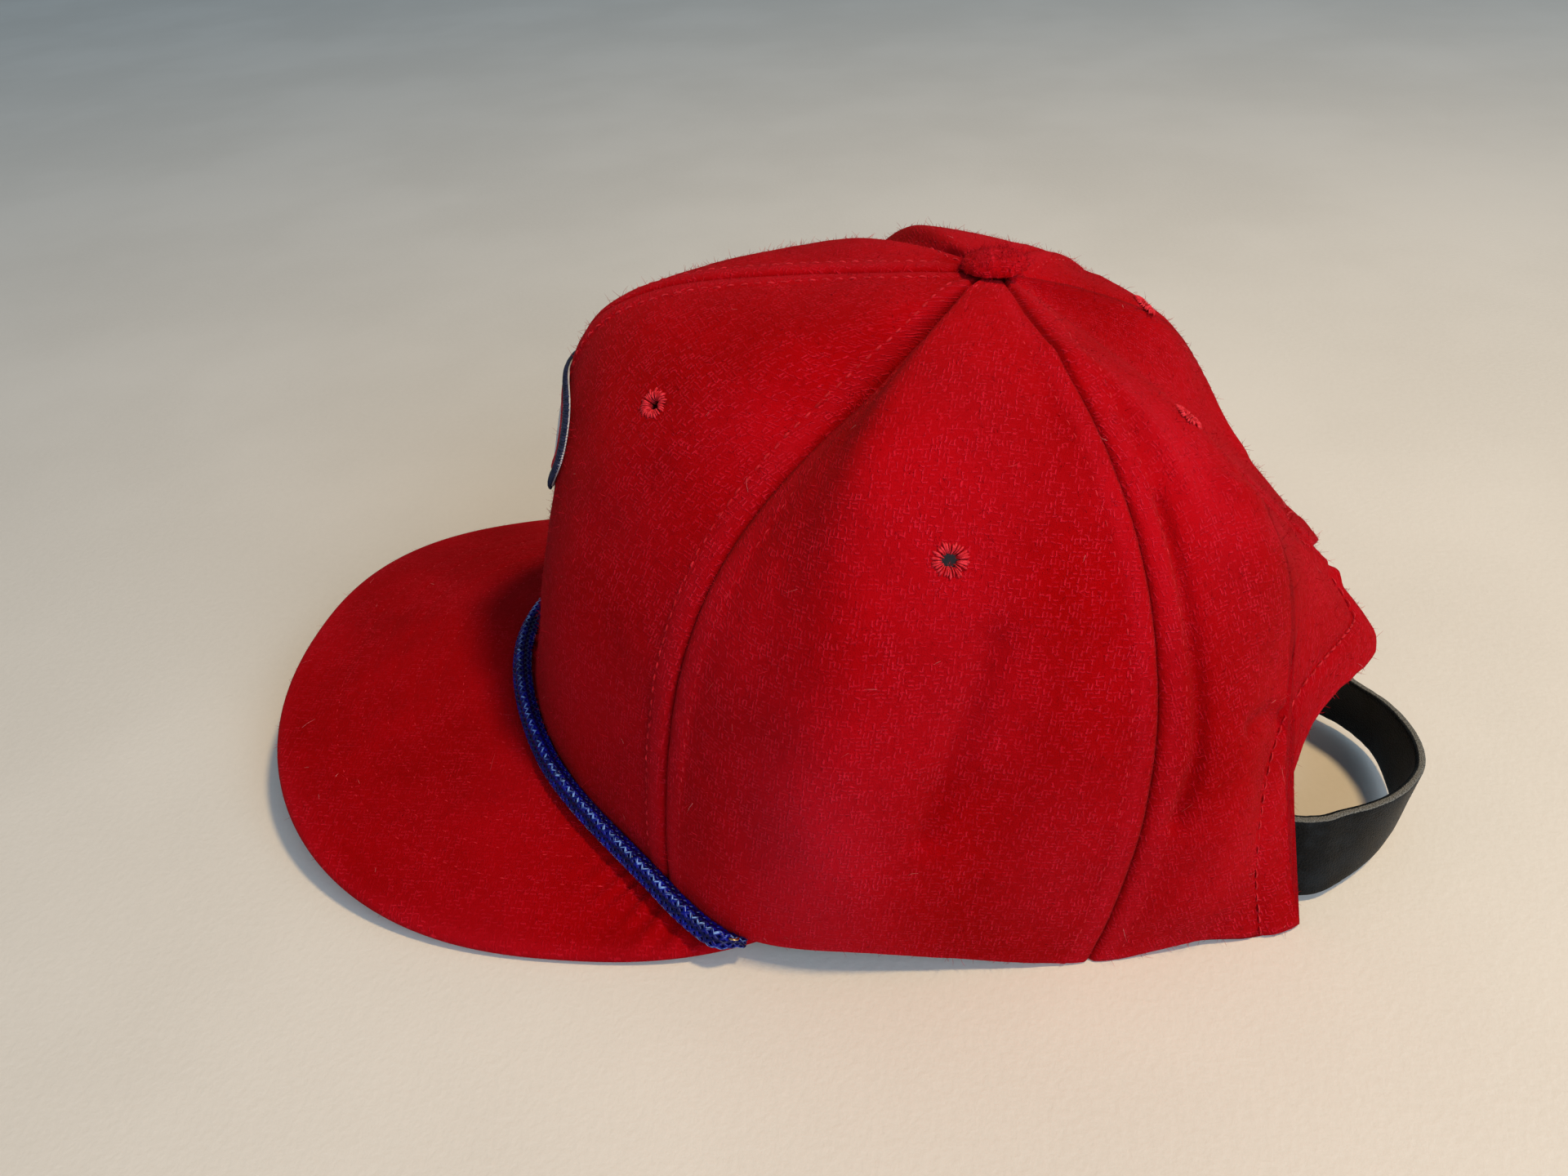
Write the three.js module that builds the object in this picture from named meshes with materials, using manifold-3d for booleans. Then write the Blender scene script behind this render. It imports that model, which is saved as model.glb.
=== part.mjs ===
// Six-panel wool cap with a structured crown, a curved brim, a braided cord along the
// brim joint and a leather back strap. Millimetres, +Z up, the brim points along -Y and
// the wearer's left is +X. The cap stands on z = 0.

import * as THREE from 'three';
import { mergeVertices } from 'three/addons/utils/BufferGeometryUtils.js';
import Module from 'manifold-3d';

const wasm = await Module();
wasm.setup();

// ---------------------------------------------------------------- driving dimensions

const CLOTH = 2.0;                // crown wall: wool face, backing and seam tape
const GAP = 0.3;                  // clearance between neighbouring pieces
const APEX = [0, 6, 120.5];       // where the six panels meet, under the button
const CENTRE_Y = 35.2;            // shift that puts the middle of the whole cap at y = 0

const ACROSS = 11;                // panel cells from seam to seam
const UPWARD = 17;                // panel cells from rim to apex
const APEX_CLIMB = 0.972;         // the panels stop short of the apex, round the button stem

// Crown lines on the wearer's left, mirrored for the right. 'around' counts panels from the
// centre front: 0, 1, 2 and 3 are seams. Each line runs from its rim point through the
// points one third and two thirds of the way up, and on to the apex.
const CROWN_LINES = [
  { around: 0.00, rim: [0, -110.5, 21], third: [0, -91, 88.5], twoThirds: [0, -72, 116] },
  { around: 0.50, rim: [42, -95.5, 17.5], third: [37.5, -81, 82], twoThirds: [30.5, -44.5, 112.6] },
  { around: 1.00, rim: [73.5, -62.5, 10], third: [61.5, -52, 74], twoThirds: [41, -28, 102.5] },
  { around: 1.20, rim: [84, -46, 5.5], third: [72, -39.5, 72], twoThirds: [47, -23.5, 105] },
  { around: 1.50, rim: [86.5, -18, 5.5], third: [81.5, -17.5, 70], twoThirds: [52.5, -13.5, 109.5] },
  { around: 2.00, rim: [80.5, 28.5, -0.8], third: [71.5, 37, 60], twoThirds: [47.5, 27, 102.5] },
  { around: 2.25, rim: [75.5, 51, 1], third: [66.5, 54, 54], twoThirds: [43, 38.5, 98] },
  { around: 2.50, rim: [68, 74, -0.8], third: [50.5, 65.5, 56], twoThirds: [37, 56, 89.5] },
  { around: 2.75, rim: [40, 100, 0], third: [24, 92, 43.4], twoThirds: [17.5, 54, 82.5] },
  { around: 3.00, rim: [0, 104, 0], third: [0, 85, 50.3], twoThirds: [0, 52.5, 83.5] },
];

// Dents and folds: each moves the cloth by 'move' at its middle and fades with distance.
// 'side' is +1 for the wearer's left and -1 for the right; 'climb' runs from rim to apex.
const FOLDS = [
  { name: 'right back lobe, sunk', side: -1, around: 2.6, climb: 0.5, spread: 0.45,
    rise: 0.25, move: [0, -3, -3] },
  { name: 'right back corner, pushed in', side: -1, around: 2.5, climb: 0.0, spread: 0.35,
    rise: 0.3, move: [14, -9, 0] },
  { name: 'left side, soft hollow', side: 1, around: 1.67, climb: 0.24, spread: 0.12,
    rise: 0.16, move: [-2.5, 0, 0] },
  { name: 'left side, swell ahead of the hollow', side: 1, around: 1.36, climb: 0.2,
    spread: 0.12, rise: 0.16, move: [1.2, 0, 0] },
  { name: 'left back ridge', side: 1, around: 2.3, climb: 0.62, spread: 0.16, rise: 0.14,
    move: [0.8, 1.6, 1.6] },
  { name: 'right side, soft hollow', side: -1, around: 1.4, climb: 0.3, spread: 0.16,
    rise: 0.2, move: [2.2, 0, 0] },
  { name: 'right front, swell by the apex', side: -1, around: 0.85, climb: 0.79, spread: 0.55,
    rise: 0.12, move: [-0.5, 0, 3] },
];

const OPENING = { around: 2.5, climb: 0.345, squareness: 3 };   // arch above the strap
const OPENING_COLUMNS = { beside: 5, along: 9 };                 // panel cells by that arch
const EYELET = { radius: 1.9, length: 12, sides: 12 };           // one through each panel
const EYELET_PLACES = [
  { around: 0.44, climb: 0.55 },
  { around: 1.65, climb: 0.52 },
  { around: 2.46, climb: 0.79 },
];

const BRIM = {
  halfWidth: 88.8, reach: 91.5, middleY: -83.5, squareness: 2.38, // outline, a superellipse
  edgeZ: 0, arch: 17.5, thickness: 2.6,                       // height across the brim
  temple: 1.2,                                                  // crown line where it ends
  cellsAcross: 36, cellsOut: 6,
};

const CORD = {
  radius: 2.5, sides: 5, steps: 64, places: 33,                 // five-sided stand-in
  overrun: 0.03, sink: 0.7, justAbove: 0.02,                    // past the temples; into the seam
};
const BUTTON = {
  radius: 7, height: 3.4, stemRadius: 1.7, stemLength: 4.2, clearance: 0.2,
  undercut: 0.8, lip: 0.5, roundness: 0.6, sides: 20, turns: 6,
};
const PATCH = { climb: 0.345, thickness: 0.8, tension: 0.4, rings: 4, spokes: 24 };
// Half of the patch's outline, a low hexagon with soft corners, from its top down.
const PATCH_HALF = [
  { x: 0, y: 11.5 }, { x: 15.5, y: 9.5 }, { x: 22.5, y: 0 }, { x: 15.5, y: -10 }, { x: 0, y: -12 },
];

const STRAP = {
  width: 19, thickness: 2, inset: 4.1, stepLength: 4,
  liftLeft: 1.4, liftRight: 4.4,                                // height of its lower edge
};
// The foot of the free stretch of the strap from above, from the left back panel to the right
// one, and how far its top leans out of the loop.
const STRAP_LOOP = [
  { x: 59.6, y: 67.2, lean: -2.8 },
  { x: 60.6, y: 75.2, lean: -4.2 },
  { x: 59.5, y: 79.5, lean: -3.8 },
  { x: 56.9, y: 83.5, lean: -3 },
  { x: 53.3, y: 88.2, lean: -1.2 },
  { x: 48.8, y: 93, lean: 0.6 },
  { x: 44, y: 97, lean: 1.6 },
  { x: 38.8, y: 100.6, lean: 1.6 },
  { x: 32.5, y: 102.8, lean: 0.7 },
  { x: 25, y: 103.5, lean: -1 },
  { x: 17.2, y: 103, lean: -3.6 },
  { x: 12, y: 101.2, lean: -5.2 },
  { x: 6.5, y: 97.6, lean: -5.4 },
  { x: 2.5, y: 93.4, lean: -3.6 },
  { x: -12, y: 80, lean: 0 },
];
const SLIDE = { wall: 1.4, clearance: 0.35, length: 6, fromEnd: 34 };

const COLOURS = {
  wool: 0xb3091a, underside: 0xa30a18, cord: 0x1326a8, leather: 0x15181b,
  brass: 0xb08d4a, patch: 0xe9e9ea,
};

// ---------------------------------------------------------------- small vector helpers

const add = (a, b, k = 1) => [a[0] + k * b[0], a[1] + k * b[1], a[2] + k * b[2]];
const mix = (a, b, t) => [0, 1, 2].map((i) => a[i] + (b[i] - a[i]) * t);
const cross = (a, b) => [
  a[1] * b[2] - a[2] * b[1],
  a[2] * b[0] - a[0] * b[2],
  a[0] * b[1] - a[1] * b[0],
];
const size = (a) => Math.hypot(a[0], a[1], a[2]);
const unit = (a) => a.map((v) => v / size(a));
const range = (n) => [...Array(n).keys()];
const bump = (x) => Math.exp(-x * x);

// ---------------------------------------------------------------- crown surface

// The crown lines with one mirrored line added beyond each centre seam.
const mirrorLine = (line, around) => ({
  around,
  rim: [-line.rim[0], line.rim[1], line.rim[2]],
  third: [-line.third[0], line.third[1], line.third[2]],
  twoThirds: [-line.twoThirds[0], line.twoThirds[1], line.twoThirds[2]],
});
const LAST = CROWN_LINES.length - 1;
const LINES = [
  mirrorLine(CROWN_LINES[1], -CROWN_LINES[1].around),
  ...CROWN_LINES,
  mirrorLine(CROWN_LINES[LAST - 1], 6 - CROWN_LINES[LAST - 1].around),
];

// Smooth blend of one column of the table at any place around the crown.
function lineAt(around, column) {
  let i = 1;
  while (i < LAST && around >= LINES[i + 1].around) i += 1;
  const span = LINES[i + 1].around - LINES[i].around;
  const t = (around - LINES[i].around) / span;
  const slope = (k) => {
    const width = LINES[k + 1].around - LINES[k - 1].around;
    return add(LINES[k + 1][column], LINES[k - 1][column], -1).map((v) => (v * span) / width);
  };
  const start = LINES[i][column];
  const end = LINES[i + 1][column];
  const [m0, m1] = [slope(i), slope(i + 1)];
  return [0, 1, 2].map((c) =>
    (2 * t ** 3 - 3 * t ** 2 + 1) * start[c] + (t ** 3 - 2 * t ** 2 + t) * m0[c] +
    (3 * t ** 2 - 2 * t ** 3) * end[c] + (t ** 3 - t ** 2) * m1[c]);
}

// Outer face of the crown. 'around' is 0 to 3 and 'side' picks the wearer's left or right.
function crownPoint(around, climb, side) {
  const c = climb;
  const weights = [
    0.5 * (1 - c) * (2 - 3 * c) * (1 - 3 * c),
    4.5 * c * (1 - c) * (2 - 3 * c),
    4.5 * c * (1 - c) * (3 * c - 1),
    0.5 * c * (3 * c - 1) * (3 * c - 2),
  ];
  const anchors = [
    lineAt(around, 'rim'), lineAt(around, 'third'), lineAt(around, 'twoThirds'), APEX,
  ];
  let point = [0, 0, 0];
  anchors.forEach((anchor, i) => { point = add(point, anchor, weights[i]); });
  point[0] *= side;
  for (const fold of FOLDS) {
    const turned = (signed) => bump((signed - fold.around) / fold.spread);
    const near = side === fold.side ? turned(around) : turned(-around) + turned(6 - around);
    point = add(point, fold.move, near * bump((climb - fold.climb) / fold.rise));
  }
  return point;
}

// Outward direction of the crown, the same for both panels at a seam.
function crownNormal(around, climb, side) {
  const d = 0.004;
  const at = (a, c) => {
    if (a < 0) return crownPoint(-a, c, -side);
    return a > 3 ? crownPoint(6 - a, c, -side) : crownPoint(a, c, side);
  };
  const along = add(at(around + d, climb), at(around - d, climb), -1);
  const up = add(at(around, climb + d), at(around, Math.max(climb - d, 0)), -1);
  return unit(cross(along, up).map((v) => v * side));
}

const crownLift = (around, climb, side, lift) =>
  add(crownPoint(around, climb, side), crownNormal(around, climb, side), lift);

// Where the cloth starts at this place around: at the rim, or higher over the opening.
function startClimb(around) {
  if (around <= OPENING.around) return 0;
  const across = (3 - around) / (3 - OPENING.around);
  return OPENING.climb * (1 - across ** OPENING.squareness) ** (1 / OPENING.squareness);
}

// ---------------------------------------------------------------- meshes from grids

function geometryFrom(points, faces) {
  const geometry = new THREE.BufferGeometry();
  geometry.setAttribute('position', new THREE.Float32BufferAttribute(points.flat(), 3));
  geometry.setIndex(faces.flat());
  return geometry;
}

// A closed shell between two grids of points, outer[i][j] and inner[i][j].
function shellBetween(outer, inner, flipped) {
  const columns = outer.length;
  const rows = outer[0].length;
  const points = [...outer.flat(), ...inner.flat()];
  const out = (i, j) => i * rows + j;
  const inn = (i, j) => columns * rows + i * rows + j;
  const faces = [];
  const quad = (a, b, c, d) => faces.push([a, b, c], [a, c, d]);
  for (let i = 0; i < columns - 1; i += 1) {
    for (let j = 0; j < rows - 1; j += 1) {
      quad(out(i, j), out(i + 1, j), out(i + 1, j + 1), out(i, j + 1));
      quad(inn(i, j + 1), inn(i + 1, j + 1), inn(i + 1, j), inn(i, j));
    }
    quad(inn(i, 0), inn(i + 1, 0), out(i + 1, 0), out(i, 0));
    quad(out(i, rows - 1), out(i + 1, rows - 1), inn(i + 1, rows - 1), inn(i, rows - 1));
  }
  for (let j = 0; j < rows - 1; j += 1) {
    quad(inn(0, j), out(0, j), out(0, j + 1), inn(0, j + 1));
    quad(out(columns - 1, j), inn(columns - 1, j), inn(columns - 1, j + 1),
      out(columns - 1, j + 1));
  }
  return geometryFrom(points, flipped ? faces.map((f) => [f[0], f[2], f[1]]) : faces);
}

function solidFrom(geometry) {
  const bare = geometry.clone();
  bare.deleteAttribute('normal');
  bare.deleteAttribute('uv');
  const merged = mergeVertices(bare, 1e-4);
  return new wasm.Manifold(new wasm.Mesh({
    numProp: 3,
    vertProperties: new Float32Array(merged.attributes.position.array),
    triVerts: new Uint32Array(merged.index.array),
  }));
}

function geometryOf(solid) {
  const mesh = solid.getMesh();
  const geometry = new THREE.BufferGeometry();
  geometry.setAttribute('position', new THREE.BufferAttribute(mesh.vertProperties, 3));
  geometry.setIndex(new THREE.BufferAttribute(mesh.triVerts, 1));
  return geometry;
}

// A round rod from one point along a direction, used to punch the eyelets.
function rodAt(middle, direction, radius, length) {
  const rod = new THREE.CylinderGeometry(radius, radius, length, EYELET.sides);
  const turn = new THREE.Quaternion().setFromUnitVectors(
    new THREE.Vector3(0, 1, 0), new THREE.Vector3(...direction));
  rod.applyQuaternion(turn);
  rod.translate(...middle);
  return rod;
}

// ---------------------------------------------------------------- crown panels

// Places around one panel, pulled in from its seams by half the gap at each height.
function panelColumns(first) {
  const plain = range(ACROSS + 1).map((i) => first + i / ACROSS);
  if (first < 2) return plain;
  const { beside, along } = OPENING_COLUMNS;
  const flat = range(beside + 1).map((i) => first + (OPENING.around - first) * (i / beside));
  const arch = range(along).map((i) => {
    const turn = ((i + 1) / along) * (Math.PI / 2);
    const across = Math.cos(turn) ** (2 / OPENING.squareness);
    return 3 - (3 - OPENING.around) * across;
  });
  return [...flat, ...arch];
}

function panel(first, side) {
  const columns = panelColumns(first);
  const inset = (around, climb) => {
    const step = 0.01;
    const inward = around < first + 0.5 ? step : -step;
    const here = crownPoint(around, climb, side);
    const width = size(add(crownPoint(around + inward, climb, side), here, -1)) / step;
    return around + Math.sign(inward) * (GAP / 2 / width);
  };
  const grid = (lift) => columns.map((column, i) => range(UPWARD + 1).map((j) => {
    const start = startClimb(column);
    const climb = start + (APEX_CLIMB - start) * (j / UPWARD);
    const onSeam = i === 0 || i === columns.length - 1;
    const around = onSeam ? inset(column, climb) : column;
    const point = crownLift(around, climb, side, lift);
    return [point[0], point[1], Math.max(point[2], 0)];
  }));
  const shell = solidFrom(shellBetween(grid(0), grid(-CLOTH), side < 0));
  const { around, climb: height } = EYELET_PLACES[first];
  const hole = rodAt(crownPoint(around, height, side), crownNormal(around, height, side),
    EYELET.radius, EYELET.length);
  return geometryOf(shell.subtract(solidFrom(hole)));
}

// ---------------------------------------------------------------- brim and cord

// Point on the joint between crown and brim: t runs from -1, right temple, to 1, left.
function jointPoint(t, lift = 0) {
  const side = t < 0 ? -1 : 1;
  return crownLift(Math.abs(t) * BRIM.temple, 0, side, lift);
}

// Point on the brim's outer edge, bottom face, for the same t.
function brimEdge(t) {
  const templeY = jointPoint(1)[1];
  const templeTurn = Math.asin((BRIM.middleY - templeY) / BRIM.reach);
  const turn = Math.PI / 2 - Math.abs(t) * (Math.PI / 2 - templeTurn);
  const power = 2 / BRIM.squareness;
  const bent = (v) => Math.sign(v) * Math.abs(v) ** power;
  const x = BRIM.halfWidth * bent(Math.cos(turn)) * Math.sign(t);
  const y = BRIM.middleY - BRIM.reach * bent(Math.sin(turn));
  return [x, y, BRIM.edgeZ + BRIM.arch * (1 - (x / BRIM.halfWidth) ** 2)];
}

// Point of the brim's bottom face; out runs from 0 at the joint to 1 at the edge.
function brimPoint(t, out) {
  const inner = jointPoint(t, -CLOTH);
  inner[2] -= GAP + BRIM.thickness;
  return mix(inner, brimEdge(t), out);
}

function brim() {
  const ts = range(BRIM.cellsAcross + 1).map((i) => (2 * i) / BRIM.cellsAcross - 1);
  const outs = range(BRIM.cellsOut + 1).map((j) => j / BRIM.cellsOut);
  const bottom = ts.map((t) => outs.map((out) => {
    const point = brimPoint(t, out);
    return [point[0], point[1], Math.max(point[2], 0)];
  }));
  const top = bottom.map((column) => column.map((p) => [p[0], p[1], p[2] + BRIM.thickness]));
  return shellBetween(top, bottom, true);
}

// Round tube along a curve with closed ends.
function tube(curve, radius, sides, steps) {
  const circle = new THREE.Shape();
  circle.absarc(0, 0, radius, 0, 2 * Math.PI, false);
  return new THREE.ExtrudeGeometry(circle, {
    steps, curveSegments: sides, bevelEnabled: false, extrudePath: curve,
  });
}

function cord() {
  const reach = 1 + CORD.overrun;
  const away = CORD.radius + GAP / 2;
  const route = range(CORD.places).map((i) => {
    const t = reach * ((2 * i) / (CORD.places - 1) - 1);
    const joint = jointPoint(t);
    const normal = crownNormal(Math.abs(t) * BRIM.temple, CORD.justAbove, t < 0 ? -1 : 1);
    const flat = unit([normal[0], normal[1], 0]);
    const seat = add(joint, flat, away);
    return new THREE.Vector3(seat[0], seat[1], joint[2] + CORD.radius - CORD.sink);
  });
  return tube(new THREE.CatmullRomCurve3(route), CORD.radius, CORD.sides, CORD.steps);
}

// ---------------------------------------------------------------- button and patch

function button() {
  const outline = [[0, -BUTTON.stemLength], [BUTTON.stemRadius, -BUTTON.stemLength],
    [BUTTON.stemRadius, 0], [BUTTON.radius - BUTTON.undercut, 0]];
  for (const i of range(BUTTON.turns + 1)) {
    const turn = (i / BUTTON.turns) * (Math.PI / 2);
    outline.push([BUTTON.radius * Math.cos(turn) ** BUTTON.roundness,
      BUTTON.lip + (BUTTON.height - BUTTON.lip) * Math.sin(turn)]);
  }
  outline[outline.length - 1][0] = 0;
  const geometry = new THREE.LatheGeometry(
    outline.map((p) => new THREE.Vector2(...p)), BUTTON.sides);
  geometry.rotateX(Math.PI / 2);
  return geometry;
}

// The patch follows the front panels: rings and spokes laid on the crown.
function patchPoint(across, up, lift) {
  const side = across < 0 ? -1 : 1;
  const step = 0.05;
  const rise = size(add(crownPoint(0, PATCH.climb + step, 1), crownPoint(0, PATCH.climb, 1), -1));
  const climb = PATCH.climb + (up * step) / rise;
  const run = size(add(crownPoint(step, climb, side), crownPoint(0, climb, side), -1));
  return crownLift((Math.abs(across) * step) / run, climb, side, lift);
}

function patch() {
  const { rings, spokes } = PATCH;
  const half = PATCH_HALF.slice(1, -1);
  const corners = [...PATCH_HALF, ...half.reverse().map((p) => ({ x: -p.x, y: p.y }))];
  const outline = new THREE.CatmullRomCurve3(
    corners.map((p) => new THREE.Vector3(p.x, p.y, 0)), true, 'catmullrom', PATCH.tension);
  const spoke = (s) => outline.getPoint(s / spokes);
  const layer = (lift) => [patchPoint(0, 0, lift), ...range(rings).flatMap((r) =>
    range(spokes).map((s) => {
      const share = (r + 1) / rings;
      return patchPoint(spoke(s).x * share, spoke(s).y * share, lift);
    }))];
  const points = [...layer(GAP + PATCH.thickness), ...layer(GAP)];
  const under = 1 + rings * spokes;
  const id = (r, s) => 1 + r * spokes + (s % spokes);
  const faces = [];
  const both = (a, b, c) => faces.push([a, b, c], [a + under, c + under, b + under]);
  for (const s of range(spokes)) {
    both(0, id(0, s + 1), id(0, s));
    for (const r of range(rings - 1)) {
      both(id(r, s), id(r + 1, s + 1), id(r + 1, s));
      both(id(r, s), id(r, s + 1), id(r + 1, s + 1));
    }
    const [a, b] = [id(rings - 1, s), id(rings - 1, s + 1)];
    faces.push([a, b, b + under], [a, b + under, a + under]);
  }
  return geometryFrom(points, faces);
}

// ---------------------------------------------------------------- strap and slide

// Middle line of the strap's foot seen from above, from inside the left back panel round the
// back and into the right back panel. Its z is not a height but the lean.
function strapRoute() {
  const within = (around, climb, side) => {
    const p = crownLift(around, climb, side, -STRAP.inset);
    return new THREE.Vector3(p[0], p[1], 0);
  };
  const loop = STRAP_LOOP.map((place) => new THREE.Vector3(place.x, place.y, place.lean));
  return new THREE.CatmullRomCurve3([
    within(2.18, 0.12, 1), within(2.28, 0.12, 1), within(2.36, 0.12, 1), ...loop,
    within(2.4, 0.12, -1), within(2.28, 0.04, -1), within(2.18, 0.03, -1),
  ], false, 'centripetal');
}

function strapSections() {
  const route = strapRoute();
  const count = Math.round(route.getLength() / STRAP.stepLength);
  return range(count + 1).map((i) => {
    const middle = route.getPointAt(i / count);
    const ahead = route.getTangentAt(i / count);
    const lift = STRAP.liftLeft + (STRAP.liftRight - STRAP.liftLeft) * (i / count);
    const level = Math.hypot(ahead.x, ahead.y);
    return {
      middle: [middle.x, middle.y, lift],
      across: [ahead.y / level, -ahead.x / level, 0],
      lean: middle.z,
    };
  });
}

function strap() {
  const half = STRAP.thickness / 2;
  const levels = [0, STRAP.width / 2, STRAP.width];
  const face = (offset) => strapSections().map((s) =>
    levels.map((z) => add(add(s.middle, s.across, offset + s.lean * z / STRAP.width), [0, 0, z])));
  return shellBetween(face(half), face(-half), false);
}

// A plain metal loop round the strap, just where it enters the right back panel.
function slide() {
  const route = strapRoute();
  const sections = strapSections();
  const share = 1 - SLIDE.fromEnd / route.getLength();
  const place = sections[Math.round(share * (sections.length - 1))];
  const inside = [STRAP.thickness / 2 + SLIDE.clearance, STRAP.width / 2 + SLIDE.clearance];
  const outside = inside.map((v) => v + SLIDE.wall);
  const corners = ([w, h]) => [[-w, -h], [w, -h], [w, h], [-w, h]];
  const outline = new THREE.Shape(corners(outside).map((c) => new THREE.Vector2(...c)));
  outline.holes.push(new THREE.Path(corners(inside).map((c) => new THREE.Vector2(...c))));
  const geometry = new THREE.ExtrudeGeometry(outline, { depth: SLIDE.length, bevelEnabled: false });
  geometry.translate(0, 0, -SLIDE.length / 2);
  const basis = new THREE.Matrix4().makeBasis(
    new THREE.Vector3(...place.across), new THREE.Vector3(0, 0, 1),
    new THREE.Vector3(...cross(place.across, [0, 0, 1])));
  geometry.applyMatrix4(basis);
  geometry.translate(place.middle[0], place.middle[1], place.middle[2] + STRAP.width / 2);
  return geometry;
}

// ---------------------------------------------------------------- assembly

const cloth = (color) => new THREE.MeshStandardMaterial({ color, roughness: 0.95, metalness: 0 });
const cap = new THREE.Group();

function place(name, geometry, material, lift = [0, 0, 0]) {
  const mesh = new THREE.Mesh(geometry, material);
  mesh.name = name;
  mesh.position.set(...lift);
  cap.add(mesh);
}

const SIDES = [['left', 1], ['right', -1]];
const PANELS = [['front_panel', 0], ['side_panel', 1], ['back_panel', 2]];
for (const [panelName, first] of PANELS) {
  for (const [sideName, side] of SIDES) {
    place(`${panelName}_${sideName}`, panel(first, side), cloth(COLOURS.wool));
  }
}
place('brim', brim(), cloth(COLOURS.underside));
place('brim_cord', cord(), cloth(COLOURS.cord));
place('top_button', button(), cloth(COLOURS.wool), add(APEX, [0, 0, GAP + BUTTON.clearance]));
place('front_patch', patch(), cloth(COLOURS.patch));
place('back_strap', strap(), new THREE.MeshStandardMaterial({
  color: COLOURS.leather, roughness: 0.55, metalness: 0,
}));
place('strap_slide', slide(), new THREE.MeshStandardMaterial({
  color: COLOURS.brass, roughness: 0.35, metalness: 1,
}));

cap.position.y = CENTRE_Y;

export default cap;
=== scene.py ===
"""Looks of a six-panel wool cap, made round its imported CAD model.

The tables are in millimetres in the crown's own frame: +Z up, the brim along -Y, the wearer's
left along +X. in_metres() brings points to the shared frame.
"""
import math

import bpy
import numpy as np
from mathutils import Matrix, Vector


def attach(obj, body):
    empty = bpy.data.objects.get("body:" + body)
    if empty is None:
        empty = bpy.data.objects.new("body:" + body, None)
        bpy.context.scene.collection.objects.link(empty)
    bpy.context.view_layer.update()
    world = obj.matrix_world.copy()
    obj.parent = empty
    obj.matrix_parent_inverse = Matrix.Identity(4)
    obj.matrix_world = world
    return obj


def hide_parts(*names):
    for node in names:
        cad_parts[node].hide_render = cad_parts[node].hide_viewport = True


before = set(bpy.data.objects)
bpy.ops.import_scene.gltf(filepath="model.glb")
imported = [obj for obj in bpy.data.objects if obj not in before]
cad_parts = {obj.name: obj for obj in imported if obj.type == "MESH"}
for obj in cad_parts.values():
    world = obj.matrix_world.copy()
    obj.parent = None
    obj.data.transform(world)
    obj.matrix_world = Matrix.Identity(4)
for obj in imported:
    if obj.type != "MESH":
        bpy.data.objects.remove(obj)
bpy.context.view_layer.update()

MM = 0.001
CENTRE_Y = 35.2                 # shift that puts the middle of the whole cap at y = 0
LEFT, RIGHT = 1, -1
SIDE_NAMES = {LEFT: "left", RIGHT: "right"}

# ---------------------------------------------------------------- sizes, as in the CAD model

CLOTH = 2.0                     # crown wall
APEX = (0, 6, 120.5)            # where the six panels meet, under the button
APEX_CLIMB = 0.972
APEX_HOLE = 4.4                 # from the apex to the end of every panel, under the button

# Lines up the crown on the wearer's left: the place around, counted in panels from the centre
# front, then the points at the rim, one third up and two thirds up.
CROWN_LINES = (
    (0.00, (0, -110.5, 21), (0, -91, 88.5), (0, -72, 116)),
    (0.50, (42, -95.5, 17.5), (37.5, -81, 82), (30.5, -44.5, 112.6)),
    (1.00, (73.5, -62.5, 10), (61.5, -52, 74), (41, -28, 102.5)),
    (1.20, (84, -46, 5.5), (72, -39.5, 72), (47, -23.5, 105)),
    (1.50, (86.5, -18, 5.5), (81.5, -17.5, 70), (52.5, -13.5, 109.5)),
    (2.00, (80.5, 28.5, -0.8), (71.5, 37, 60), (47.5, 27, 102.5)),
    (2.25, (75.5, 51, 1), (66.5, 54, 54), (43, 38.5, 98)),
    (2.50, (68, 74, -0.8), (50.5, 65.5, 56), (37, 56, 89.5)),
    (2.75, (40, 100, 0), (24, 92, 43.4), (17.5, 54, 82.5)),
    (3.00, (0, 104, 0), (0, 85, 50.3), (0, 52.5, 83.5)),
)

# Broad dents: side, place around, climb, spread around, spread up, and how far the cloth moves.
DENTS = (
    (RIGHT, 2.60, 0.50, 0.45, 0.25, (0, -3, -3)),
    (RIGHT, 2.50, 0.00, 0.35, 0.30, (14, -9, 0)),
    (LEFT, 1.67, 0.24, 0.12, 0.16, (-2.5, 0, 0)),
    (LEFT, 1.36, 0.20, 0.12, 0.16, (1.2, 0, 0)),
    (LEFT, 2.30, 0.62, 0.16, 0.14, (0.8, 1.6, 1.6)),
    (RIGHT, 1.40, 0.30, 0.16, 0.20, (2.2, 0, 0)),
    (RIGHT, 0.85, 0.79, 0.55, 0.12, (-0.5, 0, 3)),
)

OPENING_AROUND, OPENING_CLIMB, OPENING_SQUARENESS = 2.5, 0.345, 3
EYELET_PLACES = ((0.44, 0.55), (1.65, 0.52), (2.46, 0.79))

BRIM_HALF_WIDTH, BRIM_REACH, BRIM_MIDDLE_Y, BRIM_SQUARENESS = 88.8, 91.5, -83.5, 2.38
BRIM_ARCH, BRIM_THICKNESS, BRIM_TEMPLE = 17.5, 2.6, 1.2
GAP = 0.3                       # between parts that lie against each other
CORD_RADIUS, CORD_OVERRUN, CORD_SINK = 2.5, 0.03, 0.7
BUTTON_RADIUS, BUTTON_HEIGHT, BUTTON_CLEARANCE = 7, 3.4, 0.2

PATCH_CLIMB, PATCH_THICKNESS = 0.345, 0.8
PATCH_HALF = ((0, 11.5), (15.5, 9.5), (22.5, 0), (15.5, -10), (0, -12))   # from its top down

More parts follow.
